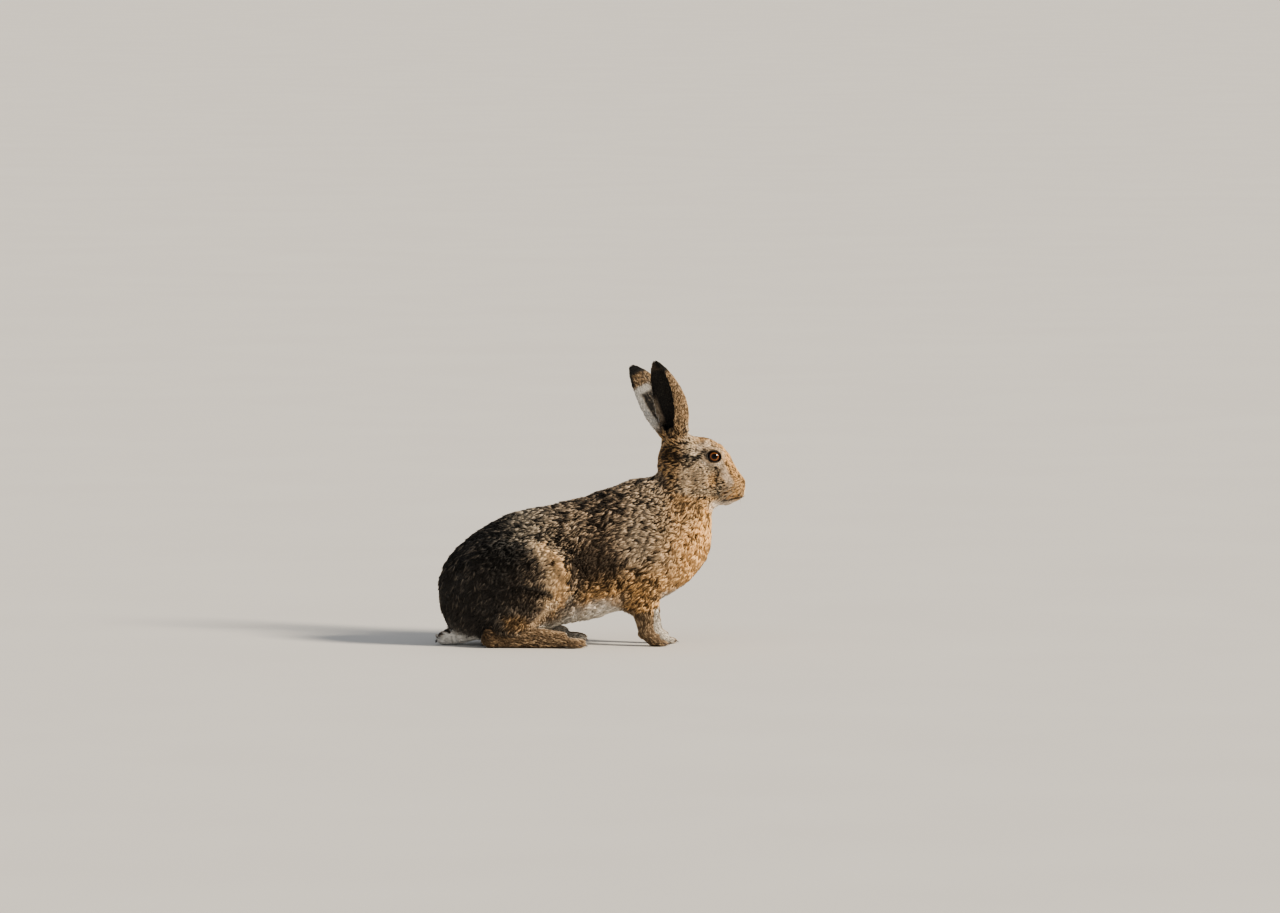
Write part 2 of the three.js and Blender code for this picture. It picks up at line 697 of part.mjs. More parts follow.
for (const [name, hand] of [['left', 1], ['right', -1]]) {
  parts[`hind_foot_${name}`] = hindFoot(hand, 0).intersect(aboveFloor);
}
const tailBox = [[-215, -30, -12], [-130, 30, 60]];
parts.tail = surfaceOf(tailField, ...tailBox, CELL_TAIL).intersect(aboveFloor);
const grownTail = surfaceOf(tailField, ...tailBox, CELL_TAIL, GAP);
const grownFeet = [1, -1].map((hand) => hindFoot(hand, GAP));

const trunkBox = [[-212, -80, -14], [172, 80, 236]];
let torso = surfaceOf(bodyField, ...trunkBox, CELL_TORSO);
torso = torso.intersect(cutAt(NECK_CUT, -1, GAP / 2)).subtract(grownTail);
for (const [name, hand] of [['left', 1], ['right', -1]]) {
  const thighLow = [-172, hand > 0 ? 18 : -84, -10];
  const thighHigh = [-8, hand > 0 ? 84 : -18, 158];
  const thigh = surfaceOf(bodyField, thighLow, thighHigh, CELL_THIGH);
  parts[`thigh_${name}`] = largest(thigh.intersect(thighPlug(hand, 0)).subtract(grownFeet[hand > 0 ? 0 : 1]));
  torso = torso.subtract(thighPlug(hand, GAP)).subtract(grownFeet[hand > 0 ? 0 : 1]);

  const legLow = [FORELEG_CUT.back - 8, hand > 0 ? -2 : -58, WRIST_CUT - 12];
  const legHigh = [FORELEG_CUT.front + 8, hand > 0 ? 58 : 2, FORELEG_CUT.z + 12];
  let leg = surfaceOf(bodyField, legLow, legHigh, CELL_FORELEG).intersect(forelegBox(hand, 0));
  leg = leg.intersect(halfSpace([0, 0, WRIST_CUT], [0, 0, 1], GAP));
  parts[`foreleg_${name}`] = largest(leg);
  torso = torso.subtract(forelegBox(hand, GAP));

  const foot = foreFoot(hand).intersect(aboveFloor);
  parts[`forefoot_${name}`] = largest(foot.intersect(halfSpace([0, 0, WRIST_CUT], [0, 0, -1], 0)));
}
parts.torso = largest(torso.intersect(aboveFloor));

const neckBox = [[50, -60, 110], [184, 60, 262]];
const neck = surfaceOf(bodyField, ...neckBox, CELL_NECK);
parts.neck = largest(neck.intersect(cutAt(NECK_CUT, 1, GAP / 2)).intersect(cutAt(HEAD_CUT, -1, GAP / 2)));

const headBox = [[70, -46, 158], [212, 46, 296]];
let head = surfaceOf(bodyField, ...headBox, CELL_HEAD);
head = head.intersect(cutAt(HEAD_CUT, 1, GAP / 2));
for (const [name, hand, plan] of [['left', 1, EAR_LEFT], ['right', -1, EAR_RIGHT]]) {
  const eyeAt = [EYE.x, hand * EYE.side, EYE.z];
  head = head.add(lids(hand)).subtract(ball(eyeAt, EYE.radius + GAP, 16, 10));
  head = head.subtract(nostril(hand)).subtract(earCut(hand, plan));
  parts[`eye_${name}`] = ball(eyeAt, EYE.radius, 16, 10);
  parts[`ear_${name}`] = largest(ear(hand, plan));
}
parts.head = largest(head.subtract(mouthLine()).subtract(lipCleft()));

// Colours and finishes of the parts.
const COAT = { roughness: 0.95, metalness: 0 };
const LOOKS = {
  torso: { color: 0x7b6248, ...COAT },
  neck: { color: 0x96724b, ...COAT },
  head: { color: 0x8d7150, ...COAT },
  tail: { color: 0x3a342e, ...COAT },
  thigh: { color: 0x77604a, ...COAT },
  hind_foot: { color: 0xa98459, ...COAT },
  foreleg: { color: 0xa47642, ...COAT },
  forefoot: { color: 0xa47642, ...COAT },
  ear: { color: 0x6f5f4c, ...COAT },
  eye: { color: 0x3a1c08, roughness: 0.08, metalness: 0 },
};

const hare = new THREE.Group();
hare.name = 'brown_hare';
for (const [name, solid] of Object.entries(parts)) {
  const mesh = solid.getMesh();
  const geometry = new THREE.BufferGeometry();
  geometry.setAttribute('position', new THREE.Float32BufferAttribute(Array.from(mesh.vertProperties), 3));
  geometry.setIndex(Array.from(mesh.triVerts));
  geometry.computeVertexNormals();
  const look = LOOKS[name.replace(/_(left|right)$/, '')];
  const item = new THREE.Mesh(geometry, new THREE.MeshStandardMaterial(look));
  item.name = name;
  hare.add(item);
}

// Centre the whole over its own footprint, with the soles left on the floor.
const extent = new THREE.Box3().setFromObject(hare);
const middle = extent.getCenter(new THREE.Vector3());
for (const item of hare.children) {
  item.geometry.translate(-middle.x, -middle.y, -extent.min.z);
}

export default hare;
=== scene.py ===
"""Brown hare: one skin, a coat of tufts, eyes, lids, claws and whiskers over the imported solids."""
import logging
import math
from dataclasses import dataclass, field
from enum import Enum
from typing import Any

import bmesh
import bpy
import numpy as np
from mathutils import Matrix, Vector
from mathutils.kdtree import KDTree


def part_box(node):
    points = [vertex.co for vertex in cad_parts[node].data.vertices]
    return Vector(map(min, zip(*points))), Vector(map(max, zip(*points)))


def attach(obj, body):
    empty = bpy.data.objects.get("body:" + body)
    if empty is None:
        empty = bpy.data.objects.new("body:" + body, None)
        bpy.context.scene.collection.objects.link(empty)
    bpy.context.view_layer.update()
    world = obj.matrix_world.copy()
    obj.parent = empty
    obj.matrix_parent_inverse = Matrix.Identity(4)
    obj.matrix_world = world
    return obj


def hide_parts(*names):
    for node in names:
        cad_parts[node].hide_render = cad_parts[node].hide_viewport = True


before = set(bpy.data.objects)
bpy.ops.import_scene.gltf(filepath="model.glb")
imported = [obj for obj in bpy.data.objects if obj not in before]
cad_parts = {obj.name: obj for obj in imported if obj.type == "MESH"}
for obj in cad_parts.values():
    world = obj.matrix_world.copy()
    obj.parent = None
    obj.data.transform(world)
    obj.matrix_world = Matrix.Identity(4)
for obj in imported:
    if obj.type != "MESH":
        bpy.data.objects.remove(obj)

Array = np.ndarray
Spot = tuple[float, float, float]
SideLine = tuple[tuple[float, float], ...]

LOG = logging.getLogger("hare")
BODY = "root"
MM = 0.001

# Image frame that the photo was read in, in pixels, and millimetres to one of its pixels.
PHOTO_WIDTH = 1280
MM_PER_PIXEL = 1.28


class Side(Enum):
    """The animal's two sides, as the sign of Y."""

    LEFT = 1
    RIGHT = -1

    @property
    def word(self) -> str:
        """Name used in the nodes of this side."""
        return self.name.lower()


class Zone(Enum):
    """Where a patch of skin lies, in the order of the labels."""

    TORSO = 0
    NECK = 1
    HEAD = 2
    TAIL = 3
    THIGH = 4
    HIND_FOOT = 5
    FORELEG = 6
    FOREFOOT = 7
    EAR = 8


FLESH: dict[str, Zone] = {zone.name.lower(): zone
                          for zone in (Zone.TORSO, Zone.NECK, Zone.HEAD, Zone.TAIL)}
FLESH |= {f"{zone.name.lower()}_{side.word}": zone
          for zone in (Zone.THIGH, Zone.HIND_FOOT, Zone.FORELEG, Zone.FOREFOOT, Zone.EAR)
          for side in Side}


def unit(vectors: Array) -> Array:
    """Vectors scaled to length one."""
    return vectors / np.maximum(np.linalg.norm(vectors, axis=-1, keepdims=True), 1e-12)


def laid(way: Array, normals: Array) -> Array:
    """Vectors turned into a surface and scaled to one."""
    return unit(way - normals * np.sum(way * normals, axis=1, keepdims=True))


def rise(low: float, high: float, value: Array) -> Array:
    """Smooth step from 0 at low to 1 at high, or falling where high is below low."""
    share = np.clip((value - low) / (high - low), 0.0, 1.0)
    return share * share * (3.0 - 2.0 * share)


def near(places: Array, spot: Spot, reach: float) -> Array:
    """Soft ball: 1 at a spot, falling to 0 at its reach, all in millimetres."""
    return rise(reach, 0.0, np.linalg.norm(places - np.array(spot), axis=1))


def mirrored(places: Array) -> Array:
    """Places folded onto the left side."""
    return np.stack([places[:, 0], np.abs(places[:, 1]), places[:, 2]], axis=1)


def from_stretch(places: Array, start: tuple[float, ...], end: tuple[float, ...]) -> Array:
    """Distance to the straight stretch between two places.

    Args:
        places: Points in millimetres.
        start: First end.
        end: Other end.

    Returns:
        A distance for each place.
    """
    offset, way = places - np.array(start), np.array(end) - np.array(start)
    share = np.clip(offset @ way / (way @ way), 0.0, 1.0)
    return np.linalg.norm(offset - np.outer(share, way), axis=1)


def from_line(places: Array, line: SideLine) -> Array:
    """Distance to a line through (x, z) places, seen from the side, in millimetres."""
    flat = places[:, [0, 2]]
    return np.min([from_stretch(flat, *ends) for ends in zip(line, line[1:])], axis=0)


def among(zones: Array, *wanted: Zone) -> Array:
    """True where a zone number is one of the wanted zones'."""
    return np.isin(zones, [zone.value for zone in wanted])


def linear(hex_colour: str) -> tuple[float, float, float, float]:
    """Linear colour of an sRGB hex value.

    Args:
        hex_colour: Six hex digits after a hash.

    Returns:
        Red, green, blue and full alpha.
    """
    parts = [int(hex_colour[i:i + 2], 16) / 255 for i in (1, 3, 5)]
    flat = [p / 12.92 if p <= 0.04045 else ((p + 0.055) / 1.055) ** 2.4 for p in parts]
    return (flat[0], flat[1], flat[2], 1.0)


def add_node(tree: Any, kind: str, inputs: dict | None = None, **settings: Any) -> Any:
    """Add a node with its settings, and fill or link its inputs.

    Args:
        tree: Node tree to add to.
        kind: Type name of the node.
        inputs: Socket names or numbers with a value or the output to link.
        **settings: Properties of the node.

    Returns:
        The new node.
    """
    node = tree.nodes.new(kind)
    for name, value in settings.items():
        setattr(node, name, value)
    for key, value in (inputs or {}).items():
        if isinstance(value, bpy.types.NodeSocket):
            tree.links.new(value, node.inputs[key])
        else:
            node.inputs[key].default_value = value
    return node


def channels(tree: Any, name: str) -> list[Any]:
    """Red, green, blue and alpha outputs of a colour attribute.

    Args:
        tree: Node tree to add to.
        name: Name of the attribute.

    Returns:
        The four outputs.
    """
    read = add_node(tree, "ShaderNodeAttribute", attribute_name=name)
    split = add_node(tree, "ShaderNodeSeparateColor", {0: read.outputs["Color"]})
    return [*split.outputs, read.outputs["Alpha"]]


def set_stops(ramp: bpy.types.ColorRamp, stops: list[tuple[float, tuple[float, ...]]]) -> None:
    """Give a colour ramp its stops.

    Args:
        ramp: New ramp, with its first and last stop.
        stops: Position and linear colour of each stop.
    """
    elements = ramp.elements
    elements[0].position, elements[1].position = stops[0][0], stops[-1][0]
    for position, _ in stops[1:-1]:
        elements.new(position)
    for element, (_, colour) in zip(elements, stops):
        element.color = colour


def new_material(name: str) -> tuple[bpy.types.Material, Any]:
    """Material with an empty node tree, and the tree.

    Args:
        name: Its name.

    Returns:
        Both.
    """
    material = bpy.data.materials.new(name)
    material.use_nodes = True
    material.node_tree.nodes.clear()
    return material, material.node_tree


def read_points(mesh: bpy.types.Mesh) -> Array:
    """All points of a mesh, in millimetres.

    Args:
        mesh: The mesh.

    Returns:
        One row for each point.
    """
    places = np.empty(len(mesh.vertices) * 3)
    mesh.vertices.foreach_get("co", places)
    return places.reshape(-1, 3) / MM


def crosses(points: Array, triangles: Array) -> Array:
    """Outward vector of each triangle, twice as long as its area."""
    a, b, c = (points[triangles[:, i]] for i in range(3))
    return np.cross(b - a, c - a)


def areas_of(points: Array, triangles: Array) -> Array:
    """Area of each triangle."""
    return np.linalg.norm(crosses(points, triangles), axis=1) / 2


def scatter(areas: Array, count: int, rng: np.random.Generator) -> tuple[Array, Array, Array]:
    """Draw places evenly over triangles.

    Args:
        areas: Area of each triangle.
        count: How many places.
        rng: Seeded draw.

    Returns:
        The triangle of each place, and its shares of the way to the second and third corner.
    """
    pick = rng.choice(len(areas), count, p=areas / areas.sum())
    u, v = rng.random((2, count))
    turn = u + v > 1
    u[turn], v[turn] = 1 - u[turn], 1 - v[turn]
    return pick, u, v


def tree_of(places: Array) -> KDTree:
    """Search tree over places, numbered in their order.

    Args:
        places: Points in millimetres.

    Returns:
        The tree.
    """
    tree = KDTree(len(places))
    for number, spot in enumerate(places):
        tree.insert(spot, number)
    tree.balance()
    return tree


def linked(name: str, data: Any) -> bpy.types.Object:
    """New object in the scene.

    Args:
        name: Its name.
        data: Its mesh, light or camera.

    Returns:
        The object.
    """
    obj = bpy.data.objects.new(name, data)
    bpy.context.scene.collection.objects.link(obj)
    return obj


def settle(obj: bpy.types.Object) -> None:
    """Turn an object's live modifiers into its plain mesh.

    Args:
        obj: Object with modifiers.
    """
    graph = bpy.context.evaluated_depsgraph_get()
    mesh = bpy.data.meshes.new_from_object(obj.evaluated_get(graph))
    obj.modifiers.clear()
    obj.data = mesh


def read_triangles(mesh: bpy.types.Mesh) -> Array:
    """Corner numbers of a mesh's triangles.

    Args:
        mesh: The mesh.

    Returns:
        One row of three numbers for each triangle.
    """
    mesh.calc_loop_triangles()
    corners = np.empty(len(mesh.loop_triangles) * 3, dtype=np.int32)
    mesh.loop_triangles.foreach_get("vertices", corners)
    return corners.reshape(-1, 3)


def make_mesh(name: str, points: Array, triangles: Array) -> bpy.types.Object:
    """Object made of triangles, smooth shaded.

    Args:
        name: Name of the object.
        points: Places in millimetres.
        triangles: Corner numbers, three to a row.

    Returns:
        The object, linked to the scene.
    """
    mesh = bpy.data.meshes.new(name)
    mesh.vertices.add(len(points))
    mesh.vertices.foreach_set("co", (points * MM).astype(np.float32).ravel())
    mesh.loops.add(triangles.size)
    mesh.loops.foreach_set("vertex_index", triangles.astype(np.int32).ravel())
    mesh.polygons.add(len(triangles))
    mesh.polygons.foreach_set("loop_start", np.arange(0, triangles.size, 3, dtype=np.int32))
    mesh.polygons.foreach_set("use_smooth", np.ones(len(triangles), dtype=bool))
    mesh.update(calc_edges=True)
    return linked(name, mesh)


def store(mesh: bpy.types.Mesh, name: str, columns: list[Array]) -> None:
    """Keep up to four shares for each point as one colour attribute.

    Args:
        mesh: Mesh that gets the attribute.
        name: Name that the material reads.
        columns: Up to four lists of numbers, one for each channel.
    """
    values = np.zeros((len(mesh.vertices), 4), dtype=np.float32)
    values[:, 3] = 1.0
    for channel, column in enumerate(columns):
        values[:, channel] = column
    mesh.attributes.new(name, "FLOAT_COLOR", "POINT").data.foreach_set("color", values.ravel())


# Places read on the solids, in millimetres.
@dataclass(frozen=True)
class Landmarks:
    """Named places of the face, ears and limbs that the coat and the markings follow."""

    nose: Spot = (197.0, 0.0, 206.0)
    nostril_low: Spot = (197.2, 3.0, 206.8)
    nostril_high: Spot = (194.6, 6.2, 209.8)
    cleft_back: float = 190.5
    cleft_middle: float = 198.0
    cleft_half: float = 7.5
    eye: Spot = (155.3, 15.0, 242.0)
    eye_radius: float = 10.8
    eye_look: Spot = (0.16, 0.97, 0.16)
    eye_slant: float = 0.16
    eye_long: float = 9.6
    eye_high: float = 7.8
    ear_base_left: Spot = (103.3, 13.0, 270.0)
    ear_base_right: Spot = (109.3, 13.0, 271.0)
    ear_tip_left: Spot = (49.3, 36.0, 356.5)
    ear_tip_right: Spot = (79.8, 34.0, 366.5)
    ear_open: Spot = (-0.62, 0.78, 0.0)
    mouth_front: Spot = (195.5, 0.0, 191.0)
    mouth_back: Spot = (166.5, 17.0, 186.0)
    whisker_front: Spot = (190.0, 10.5, 197.0)
    whisker_rows: int = 4
    whisker_back: Spot = (-8.5, 3.2, 0.0)
    whisker_up: float = 2.6

    def ear(self, side: Side) -> tuple[Array, Array, Array, Array, float]:
        """Frame of one ear.

        Args:
            side: Which ear.

        Returns:
            Base, unit way along it, way towards its front, way that it opens, and length.
        """
        left = side is Side.LEFT
        base = np.array(self.ear_base_left if left else self.ear_base_right)
        tip = np.array(self.ear_tip_left if left else self.ear_tip_right)
        base, tip = base * (1, side.value, 1), tip * (1, side.value, 1)
        length = float(np.linalg.norm(tip - base))
        along = (tip - base) / length
        opening = np.array(self.ear_open) * (1, side.value, 1)
        opening = unit(opening - along * (opening @ along))
        front = unit(np.cross(opening, along))
        if front[0] < 0:
            front = -front
        return base, along, front, opening, length

    def eye_frame(self, side: Side) -> tuple[Array, Array, Array, Array]:
        """Centre of one eye, the way it looks, and the ways to its front corner and up.

        Args:
            side: Which side of the animal.

        Returns:
            A place and three unit ways.
        """
        look = unit(np.array(self.eye_look) * (1, side.value, 1))
        fore = unit(np.array([1.0, 0.0, -self.eye_slant]))
        fore = unit(fore - look * (fore @ look))
        up = np.cross(look, fore)
        return np.array(self.eye) * (1, side.value, 1), look, fore, up if up[2] > 0 else -up

    def round_eye(self, places: Array) -> tuple[Array, Array]:
        """Where places lie round the nearer eye.

        Args:
            places: Points in millimetres.

        Returns:
            Distance, 1 on the edge of the lids, and turn from the front corner upwards.
        """
        centre, look, fore, up = self.eye_frame(Side.LEFT)
        offset = mirrored(places) - centre
        ahead, above = offset @ fore / self.eye_long, offset @ up / self.eye_high
        share = np.where(offset @ look > 0, np.hypot(ahead, above), 9.0)
        return share, np.arctan2(above, ahead)

    def whisker_roots(self, side: Side) -> Array:
        """Places of the whiskers' roots on one side of the muzzle, row by row.

        Args:
            side: Which side of the animal.

        Returns:
            One row for each whisker, in millimetres.
        """
        rows = range(self.whisker_rows)
        front, back = np.array(self.whisker_front), np.array(self.whisker_back)
        roots = [front + back * (step / (self.whisker_rows - 1)) + (0, 0, self.whisker_up * row)
                 for row in rows for step in rows]
        return np.array(roots) * (1, side.value, 1)

    def off_nostril(self, places: Array) -> Array:
        """Distance to the middle line of the nearer nostril's slit, in millimetres."""
        return from_stretch(mirrored(places), self.nostril_low, self.nostril_high)

    def off_cleft(self, places: Array) -> Array:
        """Distance to the cleft from the nose down to the lips, in millimetres.

        Args:
            places: Points in millimetres.

        Returns:
            A distance for each place.
        """
        x, y, z = places.T
        return np.sqrt(y ** 2 + np.maximum(self.cleft_back - x, 0) ** 2
                       + np.maximum(np.abs(z - self.cleft_middle) - self.cleft_half, 0) ** 2)

    def off_mouth(self, places: Array) -> Array:
        """Height off the line of the mouth in millimetres, or 99 away from it.

        Args:
            places: Points in millimetres.

        Returns:
            A height for each place.
        """
        x = places[:, 0]
        back, front = self.mouth_back, self.mouth_front
        share = np.clip((x - back[0]) / (front[0] - back[0]), 0.0, 1.0)
        line = back[2] + (front[2] - back[2]) * share
        return np.where(x > back[0] - 0.5, np.abs(places[:, 2] - line), 99.0)


MARKS = Landmarks()


@dataclass(frozen=True)
class CoatKind:
    """Sizes of the hair in one zone, in millimetres, at the coat's full growth."""

    length: float
    width: float
    depth: float
    tufts: int
    clump: float
    pull: float


COATS: dict[Zone, CoatKind] = {
    Zone.TORSO: CoatKind(14.5, 0.50, 7.0, 140000, 1.95, 0.48),
    Zone.NECK: CoatKind(12.5, 0.48, 6.0, 25000, 1.9, 0.46),
    Zone.HEAD: CoatKind(6.4, 0.27, 2.3, 98000, 1.6, 0.36),
    Zone.TAIL: CoatKind(13.0, 0.65, 4.5, 8000, 3.0, 0.5),
    Zone.THIGH: CoatKind(13.0, 0.50, 6.0, 45000, 1.9, 0.48),
    Zone.HIND_FOOT: CoatKind(7.0, 0.52, 2.2, 14000, 1.9, 0.3),
    Zone.FORELEG: CoatKind(7.5, 0.52, 2.5, 8500, 1.9, 0.3),
    Zone.FOREFOOT: CoatKind(4.6, 0.46, 1.5, 6500, 1.6, 0.25),
    Zone.EAR: CoatKind(3.8, 0.32, 0.5, 33000, 1.3, 0.2),
}


@dataclass(frozen=True)
class Crease:
    """Groove in both sides of the body along a line of (x, z) places, in millimetres."""

    line: SideLine
    width: float
    depth: float
    zones: tuple[Zone, ...]


@dataclass(frozen=True)
class Swelling:
    """Soft rise on both sides of the body, in millimetres."""

    spot: Spot
    reach: float
    height: float


CREASES = (
    Crease(((-40.0, 146.0), (-22.0, 131.0), (-9.0, 106.0), (-11.0, 80.0), (-24.0, 58.0)), 11.0,
           3.5, (Zone.TORSO,)),
    Crease(((-96.0, 79.0), (-76.0, 76.5), (-50.0, 68.5)), 4.5, 5.5, (Zone.THIGH, Zone.TORSO)),
    Crease(((-40.0, 60.0), (-76.0, 20.0)), 7.0, 4.0, (Zone.THIGH, Zone.TORSO)),
    Crease(((38.0, 112.0), (46.0, 84.0), (52.0, 62.0)), 9.0, 3.0, (Zone.TORSO,)),
    Crease(((84.0, 96.0), (88.0, 76.0), (90.0, 58.0)), 6.0, 2.5, (Zone.TORSO,)),
    Crease(((80.0, 200.0), (94.0, 178.0), (103.0, 156.0)), 12.0, 1.8, (Zone.TORSO, Zone.NECK)),
    Crease(((167.0, 229.0), (162.0, 215.0), (161.0, 202.0), (165.0, 191.0)), 3.4, 2.8,
           (Zone.HEAD,)),
    Crease(((110.0, 214.0), (124.0, 203.0), (142.0, 196.0), (158.0, 191.0)), 5.0, 2.2,
           (Zone.HEAD, Zone.NECK)),
    Crease(((102.0, 258.0), (105.0, 241.0), (116.0, 236.0), (136.0, 236.0)), 5.0, 2.2,
           (Zone.HEAD,)),
)
SWELLINGS = (
    Swelling((-38.0, 68.0, 100.0), 38.0, 3.5),
    Swelling((-25.0, 58.0, 96.0), 26.0, 3.5),
    Swelling((-74.0, 60.0, 58.0), 17.0, 2.5),
    Swelling((64.0, 48.0, 128.0), 44.0, 2.5),
    Swelling((66.0, 40.0, 82.0), 24.0, 2.0),
    Swelling((137.0, 27.0, 216.0), 27.0, 2.2),
    Swelling((178.0, 13.0, 201.0), 14.0, 2.4),
    Swelling((192.0, 4.0, 192.5), 14.0, 4.5),
    Swelling((182.0, 0.0, 181.0), 14.0, 2.5),
)


@dataclass
class Surface:
    """Arrays of the finished skin that the coat grows on, in millimetres."""

    points: Array
    normals: Array
    triangles: Array
    zones: Array
    lie: Array
    length: Array
    depth: Array
    hollow: Array


@dataclass
class Graph:
    """Neighbours of each point, for evening values out over a surface."""

    edges: Array
    count: int
    degree: Array = field(init=False)

    def __post_init__(self) -> None:
        """Count the neighbours once."""
        self.degree = np.maximum(np.bincount(self.edges.ravel(), minlength=self.count), 1)

    def even(self, values: Array, rounds: int, share: Array | float = 1.0) -> Array:
        """Replace values by their neighbours' mean.

        Args:
            values: One row or number for each point.
            rounds: How many times.
            share: How far each point goes towards the mean, as a number or one for each.

        Returns:
            The evened values.
        """
        flat = values.reshape(self.count, -1).astype(float)
        weight = np.broadcast_to(np.asarray(share, dtype=float), (self.count,))[:, None]
        first, second = self.edges[:, 0], self.edges[:, 1]
        for _ in range(rounds):
            mean = np.empty_like(flat)
            for column in range(flat.shape[1]):
                total = np.bincount(first, flat[second, column], self.count)
                total += np.bincount(second, flat[first, column], self.count)
                mean[:, column] = total / self.degree
            flat += (mean - flat) * weight
        return flat.reshape(values.shape)


@dataclass
class EarLine:
    """Middle and half width of one ear's cup along its length, measured on the solid."""

    side: Side
    bands: int = 14
    levels: Array = field(init=False)
    middles: Array = field(init=False)

    def __post_init__(self) -> None:
        """Take the middle of the box of each band of the solid's points."""
        base, axis, front, opening, length = MARKS.ear(self.side)
        points = read_points(bpy.data.objects[f"ear_{self.side.word}"].data) - base
        share = points @ axis / length
        flat = np.stack([points @ front, points @ opening], axis=1)
        levels, middles = [], []
        for level in np.linspace(0.0, 1.0, self.bands):
            band = flat[np.abs(share - level) < 1.0 / self.bands]
            if len(band) > 8:
                levels.append(level)
                low, high = band.min(axis=0), band.max(axis=0)
                middles.append([*(low + high) / 2, (high[0] - low[0]) / 2])
        self.levels, self.middles = np.array(levels), np.array(middles)

    def at(self, share: Array) -> Array:
        """Middle's offsets to the front and the opening, and half width, along the ear."""
        return np.stack([np.interp(share, self.levels, column) for column in self.middles.T],
                        axis=1)


EAR_LINES = {side: EarLine(side) for side in Side}


def ear_place(places: Array, normals: Array) -> tuple[Array, Array, Array]:
    """Where places lie on the nearer ear.

    Args:
        places: Points in millimetres.
        normals: Their normals.

    Returns:
        Share of the length from the base, share of the way to the front edge, and 1 inside.
    """
    along = np.zeros(len(places))
    ahead = np.zeros(len(places))
    inside = np.zeros(len(places))
    for side in Side:
        base, axis, front, opening, length = MARKS.ear(side)
        mine = places[:, 1] * side.value > 0
        offset = places[mine] - base
        along[mine] = offset @ axis / length
        middle = EAR_LINES[side].at(along[mine])
        across = offset @ front - middle[:, 0]
        ahead[mine] = across / np.maximum(middle[:, 2], 3.0)
        deep = offset @ opening - middle[:, 1] - 2.0
        cup = np.outer(across, front) + np.outer(deep, opening)
        faces_in = rise(0.25, -0.25, np.sum(unit(cup) * normals[mine], axis=1))
        inside[mine] = faces_in * rise(0.01, 0.08, along[mine])
    return along, ahead, inside


# The hollow channel carries folds and creases, which the materials darken as painted shade.
ATTRIBUTES = {"zone_a": ("white", "warm", "grey"), "zone_b": ("black", "buff", "tawny"),
              "zone_c": ("bare", "bold", "hollow", "pale")}
SHARES = [name for names in ATTRIBUTES.values() for name in names if name != "hollow"]


